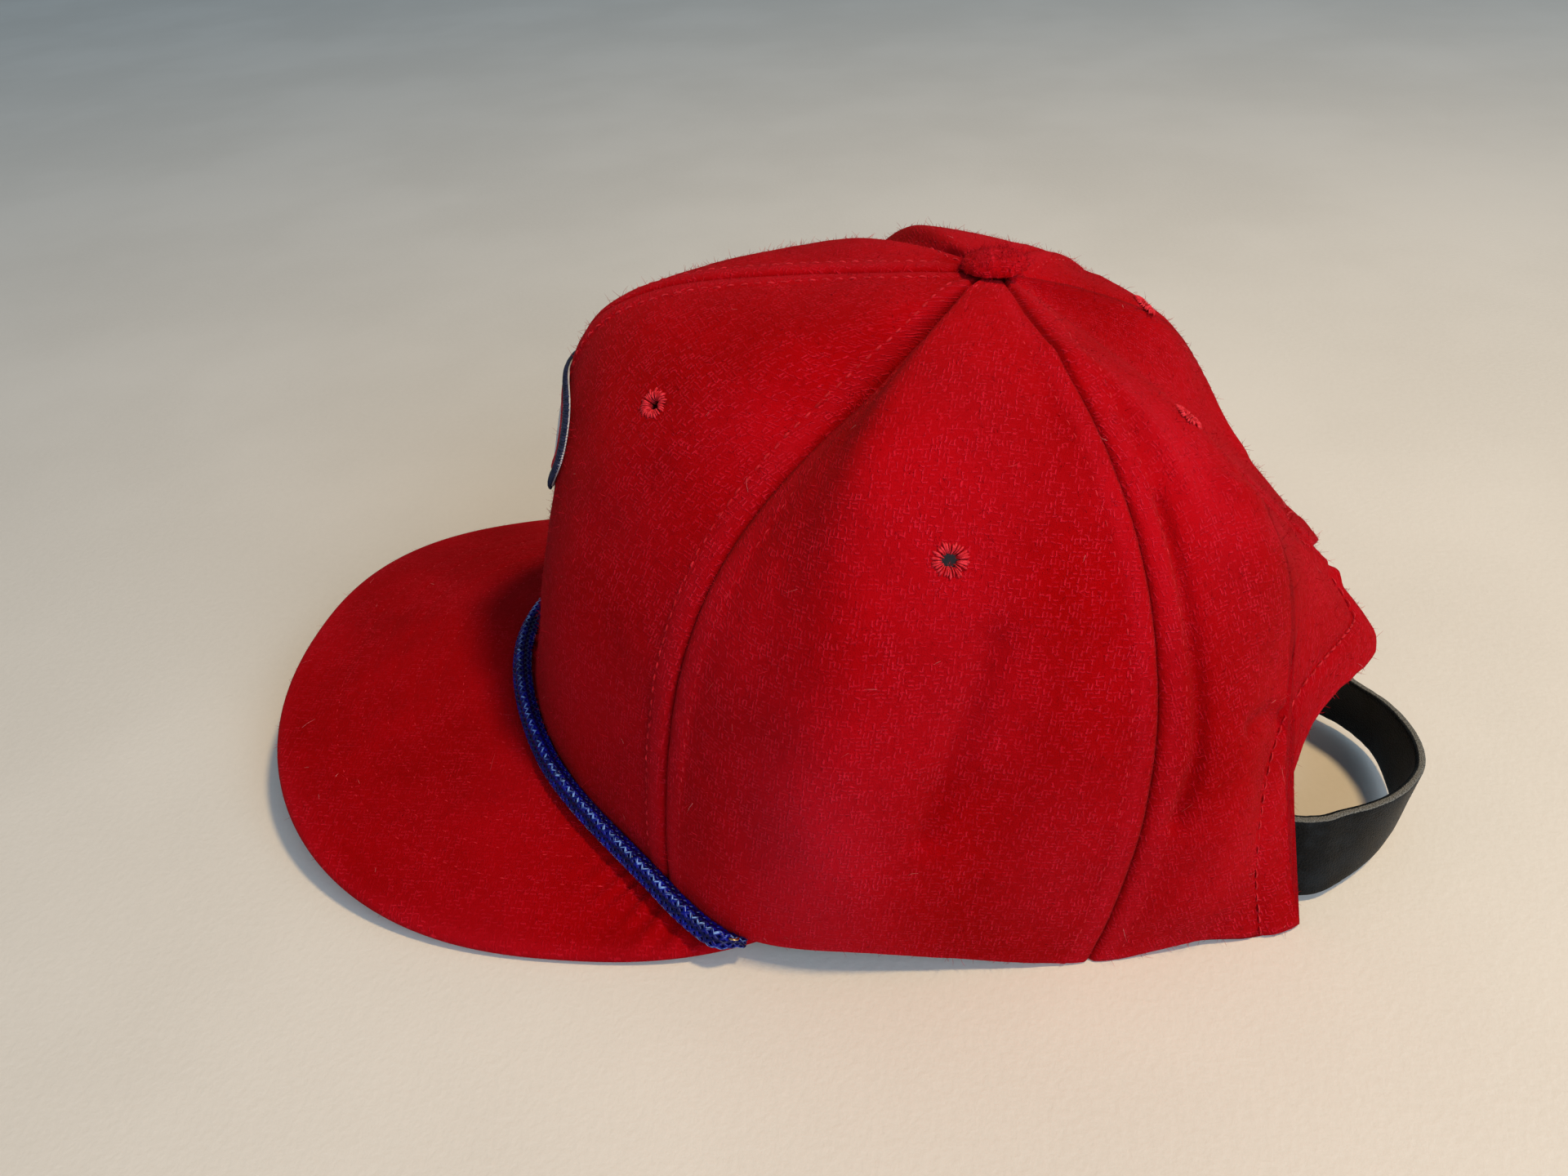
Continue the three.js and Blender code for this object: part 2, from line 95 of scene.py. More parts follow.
STRAP_WIDTH, STRAP_THICKNESS, STRAP_INSET = 19, 2.0, 4.1
STRAP_LIFT_LEFT, STRAP_LIFT_RIGHT = 1.4, 4.4
# The foot of the strap's free stretch from above, and how far its top leans out of the loop.
STRAP_LOOP = (
    (59.6, 67.2, -2.8), (60.6, 75.2, -4.2), (59.5, 79.5, -3.8), (56.9, 83.5, -3), (53.3, 88.2, -1.2),
    (48.8, 93, 0.6), (44, 97, 1.6), (38.8, 100.6, 1.6), (32.5, 102.8, 0.7), (25, 103.5, -1),
    (17.2, 103, -3.6), (12, 101.2, -5.2), (6.5, 97.6, -5.4), (2.5, 93.4, -3.6), (-12, 80, 0),
)
SLIDE_WALL, SLIDE_CLEARANCE, SLIDE_LENGTH, SLIDE_FROM_END = 1.4, 0.35, 6, 34

# ---------------------------------------------------------------- looks

PANEL_ACROSS, PANEL_UP = 84, 128     # cells of the fine crown mesh
EDGE = 1.0                           # radius of a folded cloth edge
SEAM_BAND = 5.5                      # from a seam to its row of topstitching
STITCH_PITCH = 2.9                   # from one stitch to the next
STITCH_FILL = 0.72                   # share of the pitch that shows as thread
HEM_WIDTH = 9.5                      # from the edge of the back opening to its stitches
BRIM_ROWS = 15.0 + 6.4 * np.arange(9)    # from the brim's edge to each row of stitches
EYELET_HOLE = 2.05                   # radius of the hole cut in the cloth
EYELET_TUFTS = 30                    # stitches round each eyelet
YARN = 0.80                          # from one yarn of the weave to the next
BRAID_STRANDS = 8                    # strands that wind each way
BRAID_PITCH = 15.7                   # length of the cord in which a strand winds once round

# Narrow folds on the crown: side, half width, height, and a line of places (around, climb).
CREASES = (
    (LEFT, 2.8, -1.5, ((1.72, 0.42), (1.68, 0.32), (1.61, 0.17))),
    (LEFT, 1.6, -1.7, ((2.11, 0.62), (2.10, 0.54), (2.10, 0.30), (2.07, 0.21))),
    (LEFT, 3.0, 1.0, ((2.05, 0.84), (2.23, 0.75), (2.23, 0.64))),
    (LEFT, 2.0, 1.5, ((2.36, 0.66), (2.60, 0.60), (2.82, 0.47), (2.86, 0.40))),
    (LEFT, 2.2, -1.5, ((2.30, 0.33), (2.42, 0.30), (2.50, 0.26))),
    (LEFT, 6.0, -0.7, ((0.62, 0.46), (0.60, 0.36))),
    (LEFT, 2.0, -0.5, ((1.30, 0.93), (1.36, 0.84))),
    (LEFT, 3.0, -0.7, ((1.95, 0.91), (1.90, 0.80), (1.88, 0.70))),
    (RIGHT, 2.8, -0.9, ((1.30, 0.46), (1.38, 0.34), (1.36, 0.18))),
    (RIGHT, 2.2, -1.0, ((2.12, 0.66), (2.13, 0.46), (2.10, 0.24))),
    (RIGHT, 3.2, 1.0, ((2.28, 0.76), (2.46, 0.62), (2.70, 0.52))),
    (RIGHT, 6.0, -0.6, ((0.46, 0.60), (0.52, 0.44))),
)

# Hairs: how many on a piece, shortest, longest, half thickness, and how far they stand up.
CROWN_NAP = (2700, 0.5, 2.1, 0.042, 1.0)
BUTTON_NAP = (700, 0.5, 1.9, 0.042, 1.0)
BRIM_NAP = (3200, 0.4, 1.6, 0.036, 0.8)
CROWN_LINT = (16, 1.2, 4.0, 0.026, 0.35)
BRIM_LINT = (16, 1.0, 3.0, 0.035, 0.5)

# Area lights: name, direction from the cap, distance and width in metres, watts and colour.
LIGHTS = (
    ("key", (0.13, 0.37, 0.85), 0.94, 0.11, 6.6, (1.0, 0.71, 0.38)),
    ("window", (0.75, 0.85, 0.55), 2.4, 1.6, 27, (0.55, 0.78, 1.0)),
    ("near_bounce", (0.95, 0.42, 0.45), 1.2, 0.9, 4.4, (1.0, 0.84, 0.84)),
)
SKY_COLOUR = (0.66, 0.84, 1.0, 1)
SKY_STRENGTH = 0.34
FLOOR_HALF = 12.0               # metres
FLOOR_LEVEL = -0.0002           # metres, just under the cloth
CAMERA_EYE = (0.2405, 0.0302, 0.214)
CAMERA_TARGET = (0.0166, -0.0054, 0.0496)
CAMERA_ROLL = -4.21             # degrees
CAMERA_LENS = 27.06             # millimetres, on a sensor 36 wide
UP = np.array((0.0, 0.0, 1.0))


def in_metres(points):
    """Points of the tables' frame, in millimetres, moved to the shared frame in metres."""
    return (np.asarray(points, float) + (0, CENTRE_Y, 0)) * MM


# ---------------------------------------------------------------- small numeric helpers

def bump(x):
    """A smooth hill, 1 at 0 and near 0 beyond 2."""
    return np.exp(-x * x)


def step(low, high, x):
    """Smooth step from 0 at low to 1 at high."""
    t = np.clip((x - low) / (high - low), 0, 1)
    return t * t * (3 - 2 * t)


def unit(vectors):
    """Vectors scaled to length 1."""
    return vectors / np.maximum(np.linalg.norm(vectors, axis=-1, keepdims=True), 1e-9)


def soft_noise(points, size, seed):
    """Smooth random field from about -1 to 1, with lumps of the given size, read at points."""
    lattice = 32
    table = np.random.default_rng(seed).uniform(-1, 1, (lattice,) * 3)
    cell = np.asarray(points, float) / size
    low = np.floor(cell).astype(int)
    t = cell - low
    t = t * t * (3 - 2 * t)
    total = 0
    for corner in np.ndindex(2, 2, 2):
        index = (low + corner) % lattice
        weight = np.prod(np.where(corner, t, 1 - t), axis=-1)
        total = total + weight * table[index[..., 0], index[..., 1], index[..., 2]]
    return total


def distance_to_line(points, line):
    """Distance from each point to a polyline."""
    flat = points.reshape(-1, 3)
    nearest = np.full(len(flat), np.inf)
    for start, end in zip(line[:-1], line[1:]):
        along = end - start
        t = np.clip((flat - start) @ along / max(along @ along, 1e-9), 0, 1)
        away = np.linalg.norm(flat - (start + t[:, None] * along), axis=1)
        nearest = np.minimum(nearest, away)
    return nearest.reshape(points.shape[:-1])


def lengths_along(line):
    """How far each point of a polyline is along it."""
    return np.concatenate([[0], np.cumsum(np.linalg.norm(np.diff(line, axis=0), axis=1))])


def resampled(line, at, *others):
    """A polyline, and values given at its points, read at distances along it."""
    along = lengths_along(line)
    read = [
        np.stack([np.interp(at, along, values[:, k]) for k in range(values.shape[1])], axis=1)
        for values in (line, *others)
    ]
    return read[0] if not others else read


def hermite(t, start, leaving, end, arriving):
    """Cubic from start to end, t from 0 to 1, with its slopes at both."""
    return ((2 * t**3 - 3 * t**2 + 1) * start + (t**3 - 2 * t**2 + t) * leaving
            + (3 * t**2 - 2 * t**3) * end + (t**3 - t**2) * arriving)


def smooth_curve(points, per_span=24, closed=False):
    """Centripetal Catmull-Rom curve through points, as a polyline."""
    points = np.asarray(points, float)
    if closed:
        padded = np.concatenate([points[-1:], points, points[:2]])
    else:
        padded = np.concatenate([[2 * points[0] - points[1]], points,
                                 [2 * points[-1] - points[-2]]])
    t = np.linspace(0, 1, per_span, endpoint=False)[:, None]
    curve = []
    for p0, p1, p2, p3 in zip(padded, padded[1:], padded[2:], padded[3:]):
        d0, d1, d2 = (math.sqrt(max(np.linalg.norm(b - a), 1e-6))
                      for a, b in ((p0, p1), (p1, p2), (p2, p3)))
        m1 = ((p1 - p0) / d0 - (p2 - p0) / (d0 + d1) + (p2 - p1) / d1) * d1
        m2 = ((p2 - p1) / d1 - (p3 - p1) / (d1 + d2) + (p3 - p2) / d2) * d1
        curve.append(hermite(t, p1, m1, p2, m2))
    if not closed:
        curve.append(points[-1:])
    return np.concatenate(curve)


# ---------------------------------------------------------------- crown surface

def mirrored(line, around):
    """A row of the crown table on the other side, at another place around."""
    return (around, *((-x, y, z) for x, y, z in line[1:]))


ALL_LINES = (
    mirrored(CROWN_LINES[1], -CROWN_LINES[1][0]),
    *CROWN_LINES,
    mirrored(CROWN_LINES[-2], 6 - CROWN_LINES[-2][0]),
)
LINE_PLACES = np.array([line[0] for line in ALL_LINES])
LINE_POINTS = np.array([line[1:] for line in ALL_LINES], float)


def line_at(around, column):
    """Smooth blend of one column of the crown table at places around."""
    k = np.clip(np.searchsorted(LINE_PLACES, around, side="right") - 1, 1, len(ALL_LINES) - 3)
    span = LINE_PLACES[k + 1] - LINE_PLACES[k]
    t = ((around - LINE_PLACES[k]) / span)[..., None]
    points = LINE_POINTS[:, column]

    def slope(n):
        width = LINE_PLACES[n + 1] - LINE_PLACES[n - 1]
        return (points[n + 1] - points[n - 1]) * (span / width)[..., None]

    return hermite(t, points[k], slope(k), points[k + 1], slope(k + 1))


def crown_point(around, climb, side):
    """Outer face of the crown. around is 0 to 3, climb 0 at the rim to 1 at the apex."""
    around, climb, side = (a.astype(float) for a in np.broadcast_arrays(around, climb, side))
    c = climb[..., None]
    weights = (
        0.5 * (1 - c) * (2 - 3 * c) * (1 - 3 * c),
        4.5 * c * (1 - c) * (2 - 3 * c),
        4.5 * c * (1 - c) * (3 * c - 1),
        0.5 * c * (3 * c - 1) * (3 * c - 2),
    )
    anchors = (line_at(around, 0), line_at(around, 1), line_at(around, 2), np.array(APEX, float))
    point = sum(weight * anchor for weight, anchor in zip(weights, anchors))
    point[..., 0] *= side
    for dent_side, dent_around, dent_climb, spread, rise, move in DENTS:
        near = bump((around * side * dent_side - dent_around) / spread)
        near = near + np.where(side != dent_side, bump((6 - around - dent_around) / spread), 0)
        share = near * bump((climb - dent_climb) / rise)
        point = point + share[..., None] * np.array(move, float)
    return point


def crown_tangents(around, climb, side):
    """Change of the crown point per unit of around and per unit of climb, seam-safe."""
    around, climb, side = (a.astype(float) for a in np.broadcast_arrays(around, climb, side))
    d = 0.004

    def at(a, c):
        over = (a < 0) | (a > 3)
        back = np.where(a < 0, -a, np.where(a > 3, 6 - a, a))
        return crown_point(back, c, np.where(over, -side, side))

    lower = np.maximum(climb - d, 0)
    along = (at(around + d, climb) - at(around - d, climb)) / (2 * d)
    up = (at(around, climb + d) - at(around, lower)) / (climb + d - lower)[..., None]
    return along, up


def crown_normal(around, climb, side):
    """Outward normal of the crown."""
    along, up = crown_tangents(around, climb, side)
    return unit(np.cross(along, up) * np.asarray(side, float)[..., None])


def start_climb(around):
    """Climb where the cloth starts: 0 at the rim, higher over the back opening."""
    across = np.clip((3 - around) / (3 - OPENING_AROUND), 0, 1)
    arch = OPENING_CLIMB * (1 - across**OPENING_SQUARENESS) ** (1 / OPENING_SQUARENESS)
    return np.where(around <= OPENING_AROUND, 0, arch)


def opening_edge(side, count=60):
    """Edge of the back opening on one side, from the rim to the centre back seam."""
    turn = np.linspace(0, np.pi / 2, count)
    around = 3 - (3 - OPENING_AROUND) * np.cos(turn) ** (2 / OPENING_SQUARENESS)
    return around, start_climb(around), crown_point(around, start_climb(around), side)


# ---------------------------------------------------------------- meshes

def add_piece(name, points, faces, material, slot, nodes=(), uv=None, shades=None):
    """A piece from points in millimetres, riding on the cap's one body. faces is one index
    array, or several in a list; nodes are the CAD nodes it stands for; uv is in millimetres and
    shades holds named values, both one for each point."""
    faces = faces if isinstance(faces, list) else [faces]
    faces = [np.asarray(f) for f in faces if len(f)]
    corners = np.concatenate([f.ravel() for f in faces]).astype(np.int32)
    sizes = np.concatenate([np.full(len(f), f.shape[1]) for f in faces])
    starts = np.concatenate([[0], np.cumsum(sizes)[:-1]]).astype(np.int32)
    mesh = bpy.data.meshes.new(name)
    mesh.vertices.add(len(points))
    mesh.vertices.foreach_set("co", in_metres(points).astype(np.float32).ravel())
    mesh.loops.add(len(corners))
    mesh.loops.foreach_set("vertex_index", corners)
    mesh.polygons.add(len(sizes))
    mesh.polygons.foreach_set("loop_start", starts)
    mesh.polygons.foreach_set("use_smooth", np.full(len(sizes), True))
    mesh.update(calc_edges=True)
    if uv is not None:
        layer = mesh.uv_layers.new(name="cloth")
        layer.uv.foreach_set("vector", np.asarray(uv, np.float32)[corners].ravel())
    for shade, values in (shades or {}).items():
        attribute = mesh.attributes.new(shade, "FLOAT", "POINT")
        attribute.data.foreach_set("value", np.asarray(values, np.float32).ravel())
    mesh.materials.append(material)
    piece = bpy.data.objects.new(name, mesh)
    bpy.context.scene.collection.objects.link(piece)
    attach(piece, "root")
    if nodes:
        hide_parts(*nodes)


def grid_faces(columns, rows, first=0, wrap=False):
    """Quads of a grid of points [column][row], counted from first."""
    i = np.arange(columns if wrap else columns - 1)[:, None]
    j = np.arange(rows - 1)[None]
    here, ahead = first + i * rows + j, first + ((i + 1) % columns) * rows + j
    return np.stack([here, ahead, ahead + 1, here + 1], axis=-1).reshape(-1, 4)


def tubes(centres, ups, widths, heights, sides=6):
    """Many tubes with the same number of rings. centres and ups are [tube][ring][3], widths
    and heights are half sizes [tube][ring]. Returns points, quads and end caps."""
    count, rings = centres.shape[:2]
    ahead = unit(np.gradient(centres, axis=1))
    across = unit(np.cross(ahead, ups))
    lift = np.cross(across, ahead)
    turn = np.arange(sides) * 2 * np.pi / sides
    widths, heights = (np.broadcast_to(v, (count, rings))[..., None, None]
                       for v in (widths, heights))
    ring = (across[:, :, None] * np.cos(turn)[:, None] * widths
            + lift[:, :, None] * np.sin(turn)[:, None] * heights)
    points = (centres[:, :, None] + ring).reshape(-1, 3)
    k = np.arange(count)[:, None, None] * rings * sides
    here = k + np.arange(rings - 1)[None, :, None] * sides
    s = np.arange(sides)[None, None]
    beside = (s + 1) % sides
    quads = np.stack([here + s, here + beside, here + sides + beside, here + sides + s], axis=-1)
    first = k[:, 0] + np.arange(sides)[::-1]
    last = k[:, 0] + (rings - 1) * sides + np.arange(sides)
    return points, [quads.reshape(-1, 4), first, last]


def joined(parts):
    """One set of points and faces from several (points, faces) pairs."""
    points, faces, start = [], [], 0
    for part_points, part_faces in parts:
        points.append(part_points)
        faces += [f + start for f in part_faces]
        start += len(part_points)
    return np.concatenate(points), faces


def stitches(line, normals, thread, lift, seed):
    """A row of thread stitches along a line on cloth: short arcs that dive in at both ends."""
    count = int(lengths_along(line)[-1] // STITCH_PITCH)
    if count < 1:
        return None
    rings, dive = 5, 0.25
    random = np.random.default_rng(seed)
    starts = (np.arange(count) + 0.5 * (1 - STITCH_FILL)) * STITCH_PITCH
    starts = starts + random.uniform(-.12, .12, count)
    share = np.linspace(0, 1, rings)
    at = (starts[:, None] + share * STITCH_FILL * STITCH_PITCH).ravel()
    centres, ups = resampled(line, at, normals)
    ups = unit(ups).reshape(count, rings, 3)
    rise = (np.sin(share * np.pi) * (lift + dive) - dive)[None, :, None]
    wander = random.uniform(-.14, .14, (count, 1, 1))
    centres = centres.reshape(count, rings, 3)
    sideways = unit(np.cross(np.gradient(centres, axis=1), ups))
    centres = centres + ups * rise + sideways * wander
    size = thread * (0.55 + 0.45 * np.sin(share * np.pi)) * random.uniform(.85, 1.1, (count, 1))
    return tubes(centres, ups, size * 1.15, size * 0.9)


def rounded_ring(wide, high, bend, steps):
    """Places (across, up) round a rectangle of these half sizes, with rounded corners."""
    ring = []
    for quarter, (sx, sz) in enumerate(((1, 1), (-1, 1), (-1, -1), (1, -1))):
        for turn in np.linspace(quarter, quarter + 1, steps) * np.pi / 2:
            ring.append((sx * (wide - bend) + bend * math.cos(turn),
                         sz * (high - bend) + bend * math.sin(turn)))
    return np.array(ring)


# ---------------------------------------------------------------- materials

class Shader:
    """Short ways to add nodes to a new material that ends in one Principled shader."""

    def __init__(self, name, **sockets):
        self.material = bpy.data.materials.new(name)
        self.material.use_nodes = True
        self.nodes = self.material.node_tree.nodes
        self.links = self.material.node_tree.links
        self.surface = next(n for n in self.nodes if n.type == "BSDF_PRINCIPLED")
        for socket, value in sockets.items():
            self.surface.inputs[socket.replace("_", " ")].default_value = value

    def add(self, kind, settings=None, **inputs):
        """A new node. An input is given by its name, or as n and its number."""
        node = self.nodes.new("ShaderNode" + kind)
        for key, value in (settings or {}).items():
            setattr(node, key, value)
        for key, value in inputs.items():
            key = int(key[1:]) if key[0] == "n" and key[1:].isdigit() else key.replace("_", " ")
            self.set(node.inputs[key], value)
        return node

    def set(self, socket, value):
        """A link from another node's output, or a plain value."""
        if isinstance(value, bpy.types.NodeSocket):
            self.links.new(value, socket)
        else:
            socket.default_value = value

    def math(self, operation, a, b=0.0, c=0.0):
        return self.add("Math", {"operation": operation}, n0=a, n1=b, n2=c).outputs[0]

    def times(self, a, b, plus=None):
        """a times b, and plus added to it."""
        if plus is None:
            return self.math("MULTIPLY", a, b)
        return self.math("MULTIPLY_ADD", a, b, plus)

    def vector(self, operation, a, b):
        return self.add("VectorMath", {"operation": operation}, n0=a, n1=b).outputs[0]

    def noise(self, vector, scale, detail=2.0, roughness=0.5, output="Fac"):
        return self.add("TexNoise", Vector=vector, Scale=scale, Detail=detail,
                        Roughness=roughness).outputs[output]

    def smooth(self, value, low, high, start=0.0, end=1.0):
        """value from low to high turned smoothly into start to end."""
        node = self.add("MapRange", {"interpolation_type": "SMOOTHSTEP"}, n0=value, n1=low,
                        n2=high, n3=start, n4=end)
        return node.outputs[0]

    def mix(self, share, a, b):
        """Colour a where share is 0 and b where it is 1."""
        node = self.add("Mix", {"data_type": "RGBA"})
        for socket, value in zip((0, 6, 7), (share, a, b)):
            self.set(node.inputs[socket], value if not isinstance(value, tuple)
                     else (*value, 1.0))
        return node.outputs[2]

    def bump(self, height, distance, strength):
        """A normal for relief of this height, with its distance in millimetres."""
        return self.add("Bump", Height=height, Distance=distance * MM, Strength=strength).outputs[0]

    def shade(self, name):
        """One of the named values that a piece carries."""
        return self.add("Attribute", {"attribute_name": name}).outputs["Fac"]

    def uv(self):
        """Place on the cloth in millimetres."""
        return self.add("UVMap", {"uv_map": "cloth"}).outputs[0]

    def place(self):
        """Position on the object in millimetres."""
        node = self.add("TexCoord")
        return self.vector("MULTIPLY", node.outputs["Object"], (1 / MM,) * 3)

    def finish(self, colour, roughness=None, normal=None):
        """Joins the colour, roughness and normal to the surface."""
        self.set(self.surface.inputs["Base Color"], colour)
        if roughness is not None:
            self.set(self.surface.inputs["Roughness"], roughness)
        if normal is not None:
            self.set(self.surface.inputs["Normal"], normal)
        return self.material


def wool(name, deep, bright, pale, weave_share):
    """Napped wool: a plain weave of red yarns under a fuzzy nap. The yarns that come to the top are
    painted paler, a painted highlight on their crowns; the cloth is paler where it is worn and along
    a painted highlight on one fold, and darker with painted shade in creases.
    weave_share is how much of the weave shows through the nap."""
    s = Shader(name, Roughness=0.92, Specular_IOR_Level=0.02, Sheen_Weight=0.05,
               Sheen_Roughness=0.35, Sheen_Tint=(1.0, 0.30, 0.32, 1.0))
    uv, place = s.uv(), s.place()
    wobble = s.noise(uv, 0.55, output="Color")
    wobble = s.vector("MULTIPLY", s.vector("SUBTRACT", wobble, (0.5, 0.5, 0.5)), (0.9, 0.9, 0))
    ragged = s.noise(place, 2.6, 3.0, 0.65)
    ragged = s.times(s.math("SUBTRACT", ragged, 0.5), 0.50)

    def dashes(across, along, turned):
        """Yarns that come to the top here and there: thin dashes in brick-like cells."""
        spot = s.add("SeparateXYZ", Vector=s.vector("ADD", uv, wobble))
        first, second = spot.outputs[1 if turned else 0], spot.outputs[0 if turned else 1]
        column = s.math("DIVIDE", first, across)
        stagger = s.add("TexWhiteNoise", {"noise_dimensions": "1D"},
                        W=s.math("FLOOR", column)).outputs["Value"]
        row = s.math("ADD", s.math("DIVIDE", second, along), stagger)
        corner = s.add("CombineXYZ", X=s.math("FLOOR", column), Y=s.math("FLOOR", row),
                       Z=7.0 if turned else 3.0)
        chance = s.add("TexWhiteNoise", {"noise_dimensions": "3D"}, Vector=corner.outputs[0])
        narrow = s.math("ABSOLUTE", s.math("SUBTRACT", s.math("FRACT", column), 0.5))
        long = s.math("ABSOLUTE", s.math("SUBTRACT", s.math("FRACT", row), 0.5))
        body = s.smooth(s.math("ADD", narrow, ragged), 0.07, 0.29, 1.0, 0.0)
        ends = s.smooth(s.math("ADD", long, s.times(ragged, 0.6)), 0.28, 0.46, 1.0, 0.0)
        shown = s.smooth(chance.outputs["Value"], 0.35, 0.95, 0.0, 1.0)
        return s.times(s.times(body, ends), shown)

    level = s.times(dashes(YARN, YARN * 1.5, True), 0.75)
    weave = s.math("MAXIMUM", dashes(YARN, YARN * 2.0, False), level)

    # The nap: short fibres lying in small clumps, with bare and felted places between them.
    fibres = s.noise(s.vector("ADD", place, wobble), 3.4, 5.0, 0.68)
    strands = s.noise(s.vector("MULTIPLY", uv, (5.2, 1.7, 1.0)), 1.0, 3.0, 0.6)
    felted = s.smooth(s.noise(place, 0.075, 3.0, 0.6), 0.38, 0.66)
    wear_and_highlight, crease = s.shade("wear_and_highlight"), s.shade("crease")
    showing = s.times(felted, 0.45, weave_share)
    showing = s.times(showing, s.times(wear_and_highlight, 0.9, 0.75))
    weave = s.times(weave, showing)

    blotch = s.noise(place, 0.035, 3.0, 0.55)
    ground = s.mix(s.smooth(blotch, 0.35, 0.68), deep, bright)
    fleck = s.smooth(fibres, 0.56, 0.80)
    ground = s.mix(s.times(fleck, 0.42), ground, pale)
    ground = s.mix(s.times(s.smooth(strands, 0.60, 0.82), 0.30), ground, pale)
    # The yarns at the top are painted paler: a painted highlight on their crowns.
    colour = s.mix(s.times(weave, 0.80), ground, pale)
    # Paler where the cloth is worn, and along a painted highlight on the back fold.
    colour = s.mix(s.times(wear_and_highlight, 0.42), colour, pale)
    # Painted shade: darker in the seams' grooves, sunken folds and wrinkles, and under the button's
    # rim.
    dark = tuple(0.35 * v for v in deep)
    colour = s.mix(s.times(crease, 0.34), colour, dark)

    relief = s.times(weave, 0.9, s.times(fibres, 0.8))
    relief = s.times(strands, 0.35, relief)
    return s.finish(colour, normal=s.bump(relief, 0.34, 0.85))


def thread_material(name, deep, pale):
    """Twisted sewing or embroidery thread."""
    s = Shader(name, Specular_IOR_Level=0.10, Sheen_Weight=0.05, Sheen_Roughness=0.4)
    place = s.place()
    tone = s.noise(place, 0.9, 3.0, 0.6)
    twist = s.noise(place, 7.0, 2.0, 0.5)
    colour = s.mix(s.smooth(tone, 0.32, 0.72), deep, pale)
    rough = s.smooth(twist, 0.3, 0.7, 0.48, 0.72)
    return s.finish(colour, rough, s.bump(twist, 0.10, 0.7))


def fuzz_material(name, dark, pale):
    """Loose wool hairs, each its own tone."""
    s = Shader(name, Roughness=0.8, Specular_IOR_Level=0.03)
    tone = s.shade("tone")
    speck = s.noise(s.place(), 0.5, 1.0)
    share = s.times(speck, 0.3, s.math("SUBTRACT", tone, 0.15))
    return s.finish(s.mix(share, dark, pale))


def braid_material(name, deep, bright, glint):
    """Glossy braided filament yarn, with fine filaments along each strand, painted shade where the
    strands dive under and painted glints on their crowns.
    """
    s = Shader(name, Specular_IOR_Level=0.22)
    uv = s.uv()
    filaments = s.noise(s.vector("MULTIPLY", uv, (0.35, 5.0, 1.0)), 1.0, 2.0, 0.6)
    tone = s.noise(s.place(), 0.35, 3.0, 0.6)
    colour = s.mix(s.smooth(tone, 0.35, 0.68), deep, bright)
    ridge = s.shade("ridge")
    # Painted shade where the strands dive under their neighbours.
    dark = tuple(0.3 * v for v in deep)
    colour = s.mix(s.smooth(ridge, 0.05, 0.45, 0.8, 0.0), colour, dark)
    # Painted glints on the strands' crowns.
    share = s.times(s.smooth(filaments, 0.49, 0.58), s.smooth(ridge, 0.86, 0.97))
    colour = s.mix(s.times(share, 0.9), colour, glint)
    rough = s.smooth(filaments, 0.3, 0.7, 0.20, 0.34)
    return s.finish(colour, rough, s.bump(filaments, 0.06, 0.5))


def leather_material(name):
    """Black bonded leather: fine grain, bluish scuffs, specks of painted pale bluish sparkle, and a
    pale fibrous cut edge.
    """
    s = Shader(name, Specular_IOR_Level=0.09)
    place, cut = s.place(), s.shade("cut")
    grain = s.add("TexVoronoi", {"feature": "DISTANCE_TO_EDGE"}, Vector=place, Scale=1.35)
    grain = s.smooth(grain.outputs["Distance"], 0.0, 0.22)
    pores = s.noise(place, 2.2, 4.0, 0.6)
    scuff = s.noise(place, 0.16, 4.0, 0.65)
    painted_sparkle = s.noise(place, 3.1, 3.0, 0.75)
    colour = s.mix(s.smooth(scuff, 0.38, 0.70), (0.0026, 0.0032, 0.0036), (0.0085, 0.0110, 0.0130))
    # Pale bluish specks: painted sparkle on the grain.
    colour = s.mix(s.times(s.smooth(painted_sparkle, 0.68, 0.80), 0.5), colour,
                   (0.07, 0.10, 0.14))
    fibre = s.noise(s.vector("MULTIPLY", s.uv(), (2.6, 6.5, 1.0)), 1.0, 4.0, 0.7)
    raw = s.mix(s.smooth(fibre, 0.34, 0.66), (0.020, 0.021, 0.019), (0.22, 0.22, 0.20))
    colour = s.mix(s.smooth(s.times(s.math("SUBTRACT", fibre, 0.5), 0.5, cut),
                            0.42, 0.62), colour, raw)
    rough = s.smooth(cut, 0.3, 0.7, 0.42, 0.95)
    rough = s.times(scuff, 0.16, s.math("SUBTRACT", rough, 0.06))
    relief = s.times(pores, 0.7, s.times(grain, 0.55))
    relief = s.times(s.times(cut, fibre), 1.6, relief)
    return s.finish(colour, rough, s.bump(relief, 0.13, 0.8))


def brass_material(name):
    """Plain brass, lighter and darker at random, with fine scratches that vary its roughness."""
    s = Shader(name, Metallic=1.0)
    place = s.place()
    tone = s.noise(place, 0.25, 4.0, 0.6)
    scratch = s.noise(s.vector("MULTIPLY", place, (1.0, 1.0, 9.0)), 0.9, 3.0, 0.7)
    colour = s.mix(s.smooth(tone, 0.35, 0.7), (0.30, 0.19, 0.07), (0.62, 0.44, 0.19))
    rough = s.times(scratch, 0.22, 0.20)
    return s.finish(colour, rough, s.bump(scratch, 0.03, 0.6))


